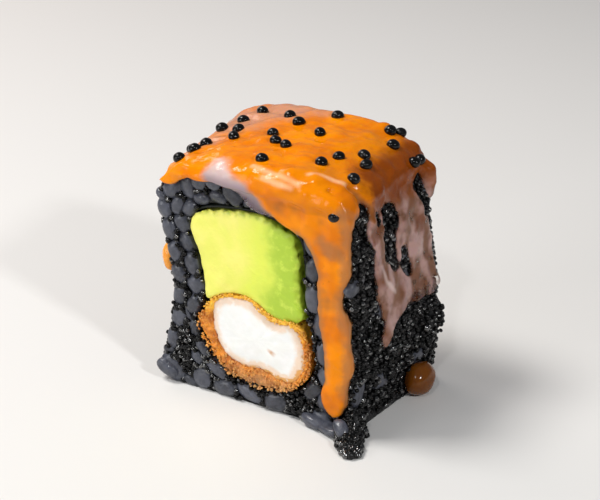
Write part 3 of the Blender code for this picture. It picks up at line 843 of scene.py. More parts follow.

# %% [markdown]
# ### Colour that follows the sauce's depth
#
# Where the sauce is thick it is a full orange, and where it is thin the black rice under
# it shows and turns it grey and mauve. So each vertex stores how deep the sauce is, and
# the finish reads that number. More numbers mark where it is milky, where highlights and
# a pale sheen are painted into its colour, where painted shade turns it brown on the right,
# where the drip's margins are thin on the left and painted as shade on the right, where the
# veil is streaked, and where it is so thin that it hardly covers. They are measured from a
# few named lines and places, in millimetres, with noise to make their edges ragged.

# %% Measure the sauce's depth and mark its painted highlights, sheen and shade
# Lines of painted highlight: pale cream streaks of light along the front top edge and down the veil on
# the right side
HIGHLIGHT_LINES = [[(0.8, -12.7, 42.1), (2.7, -13.2, 42.0), (5.1, -13.3, 41.9), (7.4, -13.6, 41.7),
               (9.6, -13.8, 41.2)],
              [(3.4, -14.0, 41.2), (6.2, -14.1, 40.8), (8.6, -14.1, 40.6)],
              [(10.2, -11.6, 42.3), (12.6, -11.0, 42.1), (15.2, -9.9, 41.3), (16.8, -9.6, 40.4)],
              [(19.2, 6.4, 38.0), (20.0, 5.8, 34.0), (20.2, 5.2, 30.0)],
              [(19.2, -0.2, 38.6), (19.6, -0.9, 36.8), (19.8, -3.4, 35.2)],
              [(20.2, -5.5, 27.0), (20.4, -4.4, 24.0), (20.6, -2.0, 21.5)]]
HIGHLIGHT_WIDTH = 0.75
# Where the milky film shows on the front cut, as (x, z)
FILM_SHOWS = [(-5.8, 41.9), (-7.6, 40.0), (-6.7, 38.2), (-4.8, 37.2), (-2.4, 36.8), (-0.4, 34.8),
              (2.8, 34.0), (4.8, 34.2), (2.9, 36.4), (1.7, 37.9), (0.4, 39.3), (-1.6, 40.2),
              (-3.3, 41.2), (-4.6, 41.9)]
# Painted sheen, a pale pinkish reflection on the back left of the top, as (x, y), size and strength, and
# spots of painted shade on the right side as (y, z), size
PAINTED_SHEEN_SPOTS = [(-12.5, 3.5, 6.0, 0.95), (-7.5, 9.5, 5.5, 0.95), (-13.5, -4.5, 3.2, 0.7),
               (-16.0, 6.0, 5.0, 0.95), (-1.5, 11.5, 3.6, 0.7)]
SHADED_SPOTS = [(-7.5, 33.2, 1.7), (-4.9, 25.3, 1.9), (6.9, 29.6, 1.9), (3.4, 18.2, 1.8),
               (-6.4, 20.0, 1.2), (-9.0, 37.0, 1.6), (-4.0, 38.6, 2.8), (1.0, 37.5, 2.8),
               (4.5, 39.0, 2.6), (9.5, 38.5, 2.4)]
# The margins of the drip: thin brownish sauce along its left edge, and painted shade along its right
# edge, where the drip curves away from the light
MARGIN_AND_SHADE_LINES = [[(9.5, -13.6, 32.6), (11.9, -13.6, 30.0), (12.6, -13.6, 26.0), (12.8, -13.6, 21.0),
                 (13.3, -13.6, 16.5), (13.9, -13.6, 12.0)],
                [(17.4, -13.8, 38.0), (18.8, -13.6, 34.0), (18.4, -13.6, 28.0), (17.3, -13.6, 23.0),
                 (18.8, -13.6, 18.0), (19.0, -13.6, 13.0), (18.4, -13.6, 8.0)],
                [(14.0, -14.2, 32.6), (17.6, -14.2, 31.0)]]


def near_line(points, line):
    """Distance of each point to a line of points."""
    best = np.full(len(points), 1e9)
    for a, b in zip(np.array(line[:-1], float), np.array(line[1:], float)):
        along = b - a
        share = np.clip(((points - a) @ along) / (along @ along), 0, 1)
        best = np.minimum(best, np.linalg.norm(points - a - share[:, None] * along, axis=1))
    return best


def smooth_step(value, low, high):
    share = np.clip((value - low) / (high - low), 0, 1)
    return share * share * (3 - 2 * share)


def tree_of(bm):
    tree = BVHTree.FromBMesh(bm)
    bm.free()
    return tree


def height_above(tree, points):
    """How far each point stands outside a closed block, and 0 inside it."""
    found = []
    for point in points:
        at, normal, index, distance = tree.find_nearest(Vector(point))
        found.append(distance if (Vector(point) - at).dot(normal) > 0 else 0.0)
    return np.array(found)


block_tree = tree_of(roll_block(0.0, -HALF, HALF, BLOCK_ROUND))


def noise_at(points, size):
    return np.array([noise.noise(Vector(p) / size) for p in points])


print("streaks", len(HIGHLIGHT_LINES), "margins", len(MARGIN_AND_SHADE_LINES))

# %% Mark every vertex of the sauce
def mark_sauce(mesh):
    """Stores at each vertex how deep and milky the sauce is, its veil and how torn it is, its thin and
    shaded margins, and where highlights, sheen and shade are painted.
    """
    points = np.array([v.co for v in mesh.vertices])
    x, y, z = points.T
    depth = height_above(block_tree, points)
    # Painted highlights: bright cream streaks along the named lines, where the lamps' reflections run
    painted_highlight = np.zeros(len(points))
    for line in HIGHLIGHT_LINES:
        painted_highlight = np.maximum(painted_highlight, 1 - smooth_step(near_line(points, line), 0.1, HIGHLIGHT_WIDTH))

    ragged = 0.5 * noise_at(points, 1.6) + 0.3 * noise_at(points, 0.6)
    shape = closed_outline(FILM_SHOWS, 90)
    rim = np.hypot(x[:, None] - shape[None, :, 0], z[:, None] - shape[None, :, 1]).min(axis=1)
    within = np.where(inside_many(shape, points[:, [0, 2]]), rim, -rim) + ragged
    film = smooth_step(within, -0.9, 0.8) * (1 - smooth_step(y, -12.6, -11.0))

    # Painted sheen: a pale pinkish reflection painted over the back left of the top
    painted_sheen = np.zeros(len(points))
    for spot_x, spot_y, size, strength in PAINTED_SHEEN_SPOTS:
        away = np.hypot(x - spot_x, y - spot_y) / size + 0.4 * ragged
        painted_sheen = np.maximum(painted_sheen, strength * (1 - smooth_step(away, 0.5, 1.3)) * (z > 35))
    # The drip's margins: thin brownish sauce on its left edge, painted shade on its right edge
    away = np.min([near_line(points, line) for line in MARGIN_AND_SHADE_LINES], axis=0)
    thin_margin_and_shade = 1 - smooth_step(away + 1.3 * ragged, 0.4, 2.0)
    right = smooth_step(x, 15.5, 18.3) * smooth_step(y, -12.6, -10.8)
    veil = right * (1 - smooth_step(z + 2.5 * ragged, 33.5, 38.5))
    stretched = np.column_stack([y / 2.0, z / 6.0, np.full(len(points), 2.0)])
    streak = noise_at(stretched, 1) + 0.5 * ragged
    torn = (1 - smooth_step(z + 7 * ragged, 16.0, 22.0)) * smooth_step(y, -2.0, 3.0)
    # Painted shade: the right shoulder and the right part of the top turn brown as if in shade, and so do
    # thicker spots of sauce on the shaded right side
    shaded_shoulder = smooth_step(x + ragged, 11.5, 16.0) * smooth_step(y + 2 * ragged, -9.0, -4.5)
    painted_shade = 0.95 * shaded_shoulder * smooth_step(z + 2 * ragged, 33.0, 37.0)
    painted_shade = np.maximum(painted_shade, 0.2 * smooth_step(x + 2 * ragged, 4.0, 11.0) * (z > 37))
    for spot_y, spot_z, size in SHADED_SPOTS:
        away = np.hypot(y - spot_y, z - spot_z) / size + 0.8 * ragged
        painted_shade = np.maximum(painted_shade, right * (1 - smooth_step(away, 0.5, 1.2)))
    fade = 0.4 + 0.6 * smooth_step(z, 34.5, 38.4)
    cover = smooth_step(depth, 0.02, 0.35) * (1 - film * (1 - fade))
    cover *= 1 - veil * np.maximum(0.05 + 0.3 * smooth_step(ragged, 0.0, 0.5), 0.8 * torn)
    for name, values in (("depth", depth), ("painted_highlight", painted_highlight), ("film", film), ("cover", cover),
                         ("veil", veil), ("painted_shade", painted_shade), ("thin_margin_and_shade", thin_margin_and_shade), ("painted_sheen", painted_sheen),
                         ("streak", smooth_step(streak, -0.35, 0.35))):
        mark(mesh, name, np.clip(values, 0, 4))
    print("sauce depth", round(float(depth.max()), 2), "mm at most")


# %% Finish of the sauce
def sauce_finish():
    made = Recipe("orange_sauce")
    depth, painted_highlight, film = (made.attribute(name) for name in ("depth", "painted_highlight", "film"))
    cloud = made.noise(5.0, 2.0)
    thick = made.plus(made.spread(depth, 0.2, 1.1), made.spread(cloud, 0.3, 0.7, -0.12, 0.12))
    orange = made.mix(made.spread(cloud, 0.35, 0.65), (0.78, 0.195, 0.0), (0.90, 0.265, 0.0))
    colour = made.mix(made.spread(thick, 0.0, 1.0), (0.34, 0.13, 0.035), orange)
    # Painted shade: dark brown where the right shoulder and side lie in shade
    colour = made.mix(made.attribute("painted_shade"), colour, (0.21, 0.042, 0.003))
    # The drip's margins: thin brownish sauce on the left, painted shade on the right
    colour = made.mix(made.times(made.attribute("thin_margin_and_shade"), 0.75), colour, (0.40, 0.165, 0.055))
    colour = made.mix(made.spread(made.noise(0.9, 2.0), 0.68, 0.76, 0.0, 0.35), colour, (0.50, 0.13, 0.0))
    # Painted sheen: a pale pinkish reflection on the back left of the top
    colour = made.mix(made.attribute("painted_sheen"), colour, (0.62, 0.28, 0.16))
    mauve = made.mix(made.attribute("streak"), (0.46, 0.28, 0.25), (0.20, 0.085, 0.045))
    # Painted shade on the veil: dark brown spots
    mauve = made.mix(made.times(made.attribute("painted_shade"), 0.9), mauve, (0.17, 0.045, 0.010))
    colour = made.mix(made.attribute("veil"), colour, mauve)
    # Painted highlights: cream streaks on the orange, paler ones on the veil
    highlight_colour = made.mix(made.attribute("veil"), (0.90, 0.48, 0.24), (0.78, 0.62, 0.58))
    colour = made.mix(made.times(painted_highlight, 0.85), colour, highlight_colour)
    milk = made.mix(made.spread(made.axis("Z"), 38.4, 41.4), (0.36, 0.27, 0.30), (0.66, 0.49, 0.45))
    colour = made.mix(film, colour, milk)
    made.set(Base_Color=colour, Alpha=made.attribute("cover"))
    made.set(IOR=1.34, Specular_IOR_Level=0.3)
    made.gloss(0.16)
    made.depth_of_light(0.12, 1.0, (1.0, 0.35, 0.05))
    made.bump(made.noise(1.6, 2.5), 0.12)
    return made.material


sauce_mesh = bpy.data.meshes.new("sauce_coat")
sauce_bm.to_mesh(sauce_mesh)
mark_sauce(sauce_mesh)
sauce_tree = BVHTree.FromBMesh(sauce_bm)
sauce_bm.free()
sauce_mesh.transform(Matrix.Scale(MM, 4))
SAUCE = sauce_finish()
sauce = settle("sauce_coat", sauce_mesh, SAUCE)
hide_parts("sauce")


def sauce_over(point, way):
    """How much sauce covers a point on its way out, and 0 where it is bare."""
    at, normal, index, distance = sauce_tree.ray_cast(Vector(point), Vector(way))
    if at is None or normal.dot(Vector(way)) < 0:
        return 0.0
    return distance


# %% [markdown]
# ## Beads of roe on the sauce
#
# Some two dozen large beads lie on the top, and one has slid into the drip on the front.
# Each is a fine ball, dropped straight down on the sauce with a ray and sunk a little,
# so that it sits in the surface instead of on a point. They are one joined mesh, because
# they are one kind of thing.

# %% Drop the large beads
BEAD_RADIUS = 1.0
BEAD_PROUD = 0.1
SAUCE_BEADS = [(-11, 8), (-5, 7), (-2, 5), (2, 10.5), (3.5, 2.5), (-3.5, -0.5), (-1, -3.5),
               (1.5, -4.5), (1, -10.5), (-9, -3.5), (-10.5, 0), (-14, 0.5), (-12.5, 4.5),
               (-13, -5.5), (-13.5, -8), (-15, -6.5), (-14, -11.5), (9.5, -7), (10.5, -3.5),
               (13, 0), (14.5, -2), (15.5, -7.5), (11.5, 11), (12.5, 12.5), (14, 7.5),
               (17.5, 8), (17.5, 10)]
# The bead in the drip, as (x, z), and how deep it lies in the sauce
SUNK_BEAD = (16.0, 37.4)
SUNK_DEPTH = 0.6


def drop_beads():
    rng = random.Random(SEED + 5)
    places, tints = [], []
    hits = [sauce_tree.ray_cast(Vector((x, y, 60)), Vector((0, 0, -1))) for x, y in SAUCE_BEADS]
    x, z = SUNK_BEAD
    at, normal, index, distance = sauce_tree.ray_cast(Vector((x, -60, z)), Vector((0, 1, 0)))
    hits.append((at - normal * SUNK_DEPTH, normal, index, distance))
    for at, normal, index, distance in hits:
        if at is None:
            print("no sauce under a bead")
            continue
        radius = BEAD_RADIUS * rng.uniform(0.93, 1.08)
        squash = (radius * rng.uniform(1.0, 1.12), radius * rng.uniform(0.92, 1.0), radius * 0.92)
        turn = turned((rng.uniform(-0.4, 0.4), rng.uniform(-0.4, 0.4), rng.uniform(0, 3)), squash)
        places.append((0, turn, np.array(at + normal * BEAD_PROUD)))
        tints.append(rng.random() * 0.3)
    return joined_copies("sauce_beads", [fine_ball(4)], places, BEADS, tints)


drop_beads()

# %% [markdown]
# ## The rice
#
# The roll's body is a ring of rice. Its inside is one dark core with a tunnel for the
# filling, and only the grains that show are modelled one by one. The core is a loft
# that goes along the outside, over the back cut, back through the tunnel and over the
# front cut, so it closes on itself. Lumps of grain size press through its rolled side.

# %% The core
GRAIN_LUMP = 3.0
LUMP_DEPTH = 1.0
EDGE_ROUND = 1.3
MIDDLE = np.array([0.0, 19.0])
# The little heap at the front foot: lumps as (x, y), half width and height
SPILL_LUMPS = [((18.9, -12.2), 2.0, 4.6), ((19.2, -14.2), 2.2, 3.2), ((20.3, -16.0), 2.0, 2.2),
               ((21.4, -17.3), 1.5, 1.3)]
# A hump on the right side: middle as (y, z), half width and rise
BACK_BULGE = ((12.8, 12.0), 3.4, 1.5)


def sink_of_side(x, y, z):
    """How far the rolled side lies below its outline: grain-sized lumps with gaps between."""
    distances, points = noise.voronoi(Vector((x, y * 1.2, z)) / GRAIN_LUMP)
    uneven = 0.45 * noise.noise(Vector((x, y, z)) / 1.3) + 0.35 * noise.noise(Vector((x, y, z)) / 5.0)
    return max(0.05, 0.35 + LUMP_DEPTH * min(1.0, distances[0] * 1.15) ** 2 + uneven)


def bulge_of_side(x, y, z):
    """The roe stands out in a low hump at the back right edge."""
    (middle_y, middle_z), half_width, rise = BACK_BULGE
    if x < 0:
        return 0.0
    return rise * math.exp(-((y - middle_y) ** 2 + (z - middle_z) ** 2) / half_width ** 2)


def same_angles(loop, tunnel):
    """Points of the tunnel's outline in the same directions from the middle as loop's."""
    def angles(points):
        return np.arctan2(points[:, 1] - MIDDLE[1], points[:, 0] - MIDDLE[0])
    order = np.argsort(angles(tunnel))
    known = angles(tunnel)[order]
    radius = np.linalg.norm(tunnel - MIDDLE, axis=1)[order]
    wanted = angles(loop)
    reach = np.interp(wanted, known, radius, period=2 * math.pi)
    return MIDDLE + np.column_stack([np.cos(wanted), np.sin(wanted)]) * reach[:, None]


def build_core():
    side_count, base_count, stations = 190, 24, 56
    places = [BARE * math.sin(math.pi / 2 * (2 * k / (stations - 1) - 1)) for k in range(stations)]
    outer = []
    for y in places:
        past = max(0.0, abs(y) - (BARE - EDGE_ROUND)) / EDGE_ROUND
        inset = EDGE_ROUND * (1 - math.sqrt(max(0.0, 1 - past * past))) * 0.8
        loop = section(y, side_count, base_count, -inset)
        normals = outward(loop)
        for i in range(side_count):
            above_base = min(max(loop[i, 1] / 2.0, 0), 1)
            x, z = loop[i]
            loop[i] -= normals[i] * (sink_of_side(x, y, z) - bulge_of_side(x, y, z)) * above_base
        outer.append(loop)
    tunnel = grown(closed_outline(NORI_OUTLINE, 300), 0.3)
    rings = [ring_at(loop, y) for loop, y in zip(outer, places)]
    shares = (0.12, 0.3, 0.5, 0.7, 0.88)
    hole = same_angles(outer[-1], tunnel)
    for share in shares:
        rings.append(ring_at(outer[-1] * (1 - share) + hole * share, BARE - 0.1))
    for y in np.linspace(BARE, -BARE, 9):
        rings.append(ring_at(hole, y))
    hole = same_angles(outer[0], tunnel)
    for share in reversed(shares):
        rings.append(ring_at(outer[0] * (1 - share) + hole * share, -BARE + 0.1))
    rings.append(rings[0])
    bm = loft(rings, closed=True)
    for (x, y), half_width, height in SPILL_LUMPS:
        lump = bmesh.ops.create_icosphere(bm, subdivisions=3, radius=1)["verts"]
        for vert in lump:
            ball = vert.co
            vert.co = Vector((x + ball.x * half_width, y + ball.y * half_width, ball.z * height))
            vert.co.z = max(vert.co.z, 0.02)
    return finish_piece("rice_core", bm, CORE)


core = build_core()
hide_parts("rice")

# %% [markdown]
# ### Grains on the cut faces
#
# A cut roll shows its grains pressed against each other and against the outline, so they
# must fill the cut closely. Random places are first pushed apart: each takes the part
# of the cut that is nearest to it and moves to its middle, again and again. Distance
# counts less along the outline than across it, which stretches the shares that way as
# rolling does to grains. A few shares are joined to make long grains. Each grain then
# takes the size and slope of its share, and a few dented pillow shapes are enough.

# %% Pack the grains
GRAIN_SHAPES = 8
GRAIN_AREA = 10.2
GRAIN_STRETCH = 1.3
# The grains lie tighter towards the top: share of their room that they fill, and at which z
GRAIN_FILL_AT = (16.0, 28.0)
GRAIN_FILL = (0.93, 1.0)
LONG_SHARE = 0.22
PACK_STEP = 0.35
PACK_ROUNDS = 14
# How far to the right grains lie on each cut, the front being -1 and the back 1
GRAIN_LIMIT = {-1: 15.4, 1: 17.2}
# How far in the grains reach, over the rim of the nori
GRAIN_RIM = [(-12.3, 28.9), (-11.0, 31.9), (-8.2, 33.7), (-2.6, 34.5), (2.0, 34.7), (6.2, 33.9),
             (9.0, 32.2), (9.9, 28.2), (9.9, 24.0), (10.3, 19.5), (11.4, 15.8), (12.0, 11.5),
             (11.2, 7.5), (8.0, 4.6), (3.8, 3.4), (-0.6, 3.3), (-4.2, 4.0), (-7.0, 5.5),
             (-9.0, 8.0), (-10.4, 10.6), (-11.0, 13.2), (-9.5, 17.0), (-10.0, 20.6), (-11.0, 25.2)]
# Places on the front cut (x, z, radius) where roe fills the room of a grain
ROE_POCKETS = [(-13.4, 9.8, 1.9), (-12.8, 4.2, 1.9), (11.8, 17.6, 1.8), (12.6, 14.2, 1.5),
               (9.0, 1.8, 1.3), (-16.2, 13.6, 1.2)]
# Grains that lie at the foot: middle, half sizes and turn
SPILL_GRAINS = [((12.2, -13.1, 1.0), (2.4, 1.3, 1.0), (0, 0.2, -0.1)),
                ((15.4, -13.5, 0.8), (2.6, 1.4, 0.8), (0, -0.05, -0.3)),
                ((18.4, -15.2, 2.6), (1.7, 1.1, 0.9), (0.3, 0.5, -0.6)),
                ((-17.0, -12.5, 2.4), (2.1, 1.3, 1.3), (0, 0.5, 0.1))]
# A grain is left out where this much sauce covers all of it
GRAIN_BURIED = 0.3
PILLOW = 2.5


def grain_shape(seed):
    """A pillow-shaped grain of radius 1 with soft dents."""
    bm = bmesh.new()
    bmesh.ops.create_icosphere(bm, subdivisions=3, radius=1)
    for vert in bm.verts:
        x, y, z = vert.co
        size = (abs(x) ** PILLOW + abs(y) ** PILLOW + abs(z) ** PILLOW) ** (1 / PILLOW)
        dent = noise.noise(Vector((x, y, z)) * 1.1 + Vector((seed * 7.3, 0, 0)))
        vert.co = vert.co / size * (1 + 0.13 * dent)
    return shape_arrays(bm)


grain_shapes = [grain_shape(k) for k in range(GRAIN_SHAPES)]


def way_of(loop):
    """Unit directions along a closed loop."""
    run = np.roll(loop, -1, axis=0) - np.roll(loop, 1, axis=0)
    return run / np.linalg.norm(run, axis=1)[:, None]


def rims_of_cut(sign, growth):
    """The rims of the rice on one cut: its outline, grown a little, and the tunnel's."""
    return section(sign * HALF, 200, 40, growth), closed_outline(GRAIN_RIM, 200)


def pack_grains(sign):
    """Grains for one cut face as (x, z, length, height, slope)."""
    rng = np.random.default_rng(SEED + 11 + sign)
    outer, tunnel = rims_of_cut(sign, -0.05)
    x, z = np.meshgrid(np.arange(-20, 22, PACK_STEP), np.arange(0.2, 42, PACK_STEP))
    dots = np.column_stack([x.ravel(), z.ravel()])
    dots = dots[inside_many(outer, dots) & ~inside_many(tunnel, dots)]
    rims = np.vstack([outer, tunnel])
    gaps = np.hypot(dots[:, None, 0] - rims[None, :, 0], dots[:, None, 1] - rims[None, :, 1])
    way = np.vstack([way_of(outer), way_of(tunnel)])[gaps.argmin(axis=1)]
    seeds = dots[rng.choice(len(dots), int(len(dots) * PACK_STEP ** 2 / GRAIN_AREA), replace=False)]
    for step in range(PACK_ROUNDS):
        apart = dots[:, None, :] - seeds[None, :, :]
        along = (apart * way[:, None, :]).sum(axis=2)
        across = apart[:, :, 0] * way[:, None, 1] - apart[:, :, 1] * way[:, None, 0]
        owner = ((along / GRAIN_STRETCH) ** 2 + across ** 2).argmin(axis=1)
        seeds = np.array([dots[owner == k].mean(axis=0) if (owner == k).any() else seed
                          for k, seed in enumerate(seeds)])
    joined = set()
    for k in rng.permutation(len(seeds))[:int(len(seeds) * LONG_SHARE)]:
        order = np.argsort(np.hypot(*(seeds - seeds[k]).T))
        other = next((int(j) for j in order[1:4] if int(j) not in joined), None)
        if int(k) not in joined and other is not None:
            joined |= {int(k), other}
            share = dots[owner == other]
            half = share[np.argsort(np.hypot(*(share - seeds[k]).T))[:int(len(share) * 0.75)]]
            owner[[np.flatnonzero((dots == spot).all(axis=1))[0] for spot in half]] = k
    grains = []
    for k in range(len(seeds)):
        share = dots[owner == k]
        if len(share) < 14:
            continue
        middle = share.mean(axis=0)
        if middle[0] > GRAIN_LIMIT[sign]:
            continue
        if sign < 0 and any(math.dist(middle, (x, z)) < radius for x, z, radius in ROE_POCKETS):
            continue
        spreads, axes = np.linalg.eigh(np.cov(share.T))
        fill = np.interp(middle[1], GRAIN_FILL_AT, GRAIN_FILL)
        high, long = 4 * np.sqrt(spreads) * fill * rng.uniform(0.94, 1.03, 2)
        grains.append((*middle, long, high, math.atan2(axes[1, 1], axes[0, 1])))
    print("grains on the", "front" if sign < 0 else "back", "cut:", len(grains))
    return grains


face_grains = {sign: pack_grains(sign) for sign in (-1, 1)}

# %% Place the grains
def side_grains(rng):
    """Grains that show through the roe, as (side, y, z, slope): two as seen, the rest guessed."""
    shown = [("right", -11.2, 25.6, 0.4), ("right", -10.4, 7.2, 1.2)]
    for side in ("left", "right"):
        for k in range(5):
            shown.append((side, rng.uniform(-11, 11), rng.uniform(3, 31), rng.uniform(0, 3)))
    return shown


def place_grains():
    rng = random.Random(SEED + 13)
    places, tints = [], []
    for sign, grains in face_grains.items():
        for x, z, long, high, slope in grains:
            dice = random.Random(rng.random())
            thick = dice.uniform(1.1, 1.5)
            y = sign * (HALF - thick - dice.uniform(0.0, 0.55))
            turn = turned((dice.uniform(-0.15, 0.15), -slope, dice.uniform(-0.15, 0.15)),
                          (long / 2, thick, high / 2))
            reach = np.array([math.cos(slope), math.sin(slope)]) * long / 2
            probes = [(x + k * reach[0], y, z + k * reach[1]) for k in (-1, -0.5, 0, 0.5, 1)]
            if min(sauce_over(probe, (0, sign, 0)) for probe in probes) > GRAIN_BURIED:
                continue
            places.append((dice.randrange(GRAIN_SHAPES), turn, np.array((x, y, z))))
            tints.append(min(max(dice.gauss(0.42, 0.27), 0), 1))
    for side, y, z, slope in side_grains(rng):
        at, normal = surface_place(side, y, z)
        along = np.array([-normal[2] * math.sin(slope), math.cos(slope), normal[0] * math.sin(slope)])
        turn = np.column_stack([along * 2.6, normal * 1.2, np.cross(along, normal) * 1.5])
        places.append((rng.randrange(GRAIN_SHAPES), turn, at - normal * 1.25))
        tints.append(rng.uniform(0.1, 0.4))
    for centre, sizes, turn in SPILL_GRAINS:
        places.append((rng.randrange(GRAIN_SHAPES), turned(turn, sizes), np.array(centre)))
        tints.append(0.5)
    return joined_copies("rice_grains", grain_shapes, places, GRAINS, tints)


place_grains()

# %% [markdown]
# ### Fine roe
#
# The rolled side is coated with roe as fine as coarse sand, and some of it fills the
# gaps between the grains of each cut. Thousands of balls would be too many as objects,
# so each side's coat and each cut's filling is one mesh of copies, with only eighty faces
# a bead. About a quarter of all beads are wet: they are a mesh of their own with a
# glossier finish, and they give the black its sparkle. Rows with random shifts cover the
# side evenly, and the beads follow the lumps of the core. Each bead throws dice of its
# own, so a bead that is left out doesn't move the beads after it.

# %% Coat the rolled side
ROE_RADIUS = 0.43
ROE_PITCH = 0.83
ROE_TOP = 39.5
# Above this height no bead lies under the sauce, and lower down none this deep in it
VEIL_TOP = 37.0
ROE_BURIED = 1.3
LAYER_SHARE = 0.2
LARGE_SHARE = 0.18
SPILL_BEADS = 430
WET_SHARE = 0.26
wet_places = []


def roe_radius(rng):
    """Mostly fine beads with some larger ones between."""
    if rng.random() < LARGE_SHARE:
        return ROE_RADIUS * rng.uniform(1.2, 1.65)
    return ROE_RADIUS * rng.uniform(0.8, 1.1)


def place_roe(rng, places, tints, centre, radius):
    turn = turned((rng.random(), rng.random(), rng.random()),
                  (radius, radius * rng.uniform(0.8, 1.0), radius * rng.uniform(0.8, 1.0)))
    if rng.random() < WET_SHARE:
        wet_places.append((0, turn, centre))
    else:
        places.append((0, turn, centre))
        tints.append(rng.random() ** 2)


def spill_roe(rng, places, tints):
    """Beads over the lumps of the little heap at the front foot."""
    for k in range(SPILL_BEADS):
        (x, y), half_width, height = SPILL_LUMPS[rng.randrange(len(SPILL_LUMPS))]
        round_about, rise = rng.uniform(0, 2 * math.pi), rng.uniform(0.0, 1.0)
        flat = math.sqrt(1 - rise * rise)
        at = np.array([x + half_width * flat * math.cos(round_about),
                       y + half_width * flat * math.sin(round_about), height * rise])
        if (at[1] < -BARE - 0.4 and at[0] > 17.2) or at[0] > 18.6:
            place_roe(rng, places, tints, np.maximum(at, (-99, -99, 0.4)), roe_radius(rng))


def coat_side(name, half_of_arch):
    """Roe over one half of the rolled side."""
    rng = random.Random(SEED + 17 + (half_of_arch == "right"))
    places, tints = [], []
    line = arch(0.0, ARCH_STEPS)
    length = np.linalg.norm(np.diff(line, axis=0), axis=1).sum()
    rows = int(length / (ROE_PITCH * 0.87))
    columns = int(2 * BARE / ROE_PITCH)
    for row in range(rows):
        for column in range(columns + 1):
            dice = random.Random(rng.random())
            y = -BARE + (column + (row % 2) / 2) * ROE_PITCH + dice.uniform(-0.22, 0.22)
            share = (row + 0.5 + dice.uniform(-0.25, 0.25)) / rows
            i = int(share * (ARCH_STEPS - 1))
            if abs(y) > BARE + 0.2 or (half_of_arch == "right") != (i > ARCH_STEPS / 2):
                continue
            blend = y / LENGTH + 0.5
            at = front_arch[i] * (1 - blend) + back_arch[i] * blend
            if at[1] > ROE_TOP or at[1] < 0.3:
                continue
            j = min(i + 1, ARCH_STEPS - 1)
            run = ((front_arch[j] - front_arch[j - 2]) * (1 - blend)
                   + (back_arch[j] - back_arch[j - 2]) * blend)
            normal = np.array([-run[1], run[0]]) / np.hypot(*run)
            radius = roe_radius(dice)
            sink = sink_of_side(at[0], y, at[1]) - dice.uniform(-0.1, 0.45)
            if dice.random() < LAYER_SHARE and abs(y) < BARE - 0.8:
                sink -= dice.uniform(0.3, 0.7)
            bulge = bulge_of_side(at[0], y, at[1])
            place = at - normal * (max(sink, radius - 0.35) - bulge)
            centre = np.array([place[0], y, max(place[1], radius)])
            if bulge > 0.3 and abs(y) > BARE - 0.5:
                continue
            over = sauce_over(centre, (normal[0], 0, normal[1]))
            if over > ROE_BURIED or (over > 0 and centre[2] > VEIL_TOP):
                continue
            place_roe(dice, places, tints, centre, radius)
    if half_of_arch == "right":
        spill_roe(rng, places, tints)
    print("roe on the", half_of_arch, "side:", len(places))
    return joined_copies(name, [fine_ball(2)], places, ROE, tints)


coat_side("fine_roe_left", "left")
coat_side("fine_roe_right", "right")

# %% Fill the gaps of each cut
GAP_TRIES = 11000
# How near the middle of a grain a gap may begin, lower and higher on the cut
GAP_FROM = (0.7, 0.95)
GAP_BURIED = 0.1


def fill_gaps(name, sign):
    """Roe between the grains of one cut."""
    rng = random.Random(SEED + 19 + sign)
    places, tints = [], []
    outer, tunnel = rims_of_cut(sign, -0.5)
    table = np.array(face_grains[sign])
    spots = np.array([(rng.uniform(-19, 20), rng.uniform(0.5, 41)) for k in range(GAP_TRIES)])
    for x, z in spots[inside_many(outer, spots) & ~inside_many(tunnel, spots)]:
        dice = random.Random(rng.random())
        away = np.column_stack([x - table[:, 0], z - table[:, 1]])
        cos, sin = np.cos(table[:, 4]), np.sin(table[:, 4])
        along = (away[:, 0] * cos + away[:, 1] * sin) / (table[:, 2] / 2)
        across = (-away[:, 0] * sin + away[:, 1] * cos) / (table[:, 3] / 2)
        if (along ** 2 + across ** 2).min() < np.interp(z, GRAIN_FILL_AT, GAP_FROM):
            continue
        radius = ROE_RADIUS * dice.uniform(0.8, 1.1)
        y = sign * (BARE + dice.uniform(-0.1, 0.65))
        if sauce_over((x, y, z), (0, sign, 0)) > GAP_BURIED:
            continue
        place_roe(dice, places, tints, np.array((x, y, z)), radius)
    print("roe in the gaps:", len(places))
    return joined_copies(name, [fine_ball(2)], places, ROE, tints)


fill_gaps("fine_roe_front", -1)
fill_gaps("fine_roe_back", 1)
wet_tints = [0.2] * len(wet_places)
joined_copies("wet_roe", [fine_ball(2)], wet_places, WET_ROE, wet_tints)

# %% [markdown]
# ## Nori
#
# The sheet of nori is a thin tube round the filling. It is a loft of two outlines, one
# inside the other, that turns over at both ends, with a slight ripple from the press of
# the grains against it.

# %% Roll the nori
NORI_THICK = 0.5
NORI_END = HALF - 0.9
FILLING_END = HALF - 0.3


def build_nori():
    outer = closed_outline(NORI_OUTLINE, 220)
    normals = outward(outer)

    def ripple(y):
        return np.array([0.12 * noise.noise(Vector((x, y, z)) / 2.0) for x, z in outer])[:, None]

    stations = np.linspace(-NORI_END, NORI_END, 20)
    rings = [ring_at(outer - normals * (0.08 + ripple(y)), y) for y in stations]
    rings += [ring_at(outer - normals * (NORI_THICK - 0.04 + ripple(y)), y) for y in reversed(stations)]
    rings.append(rings[0])
    return finish_piece("nori_sheet", loft(rings, closed=True), NORI)


nori = build_nori()
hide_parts("nori")

# %% [markdown]
# ## Avocado
#
# The avocado is one slab with a cut end: smooth where the knife went, with a soft ripple,
# and crumbly at its rim, where the soft flesh tore against the nori. Rings of points
# shrink towards the middle of the cut, each a little further out, so the end is gently
# domed. The colour runs from butter yellow near the stone to lime green near the skin.

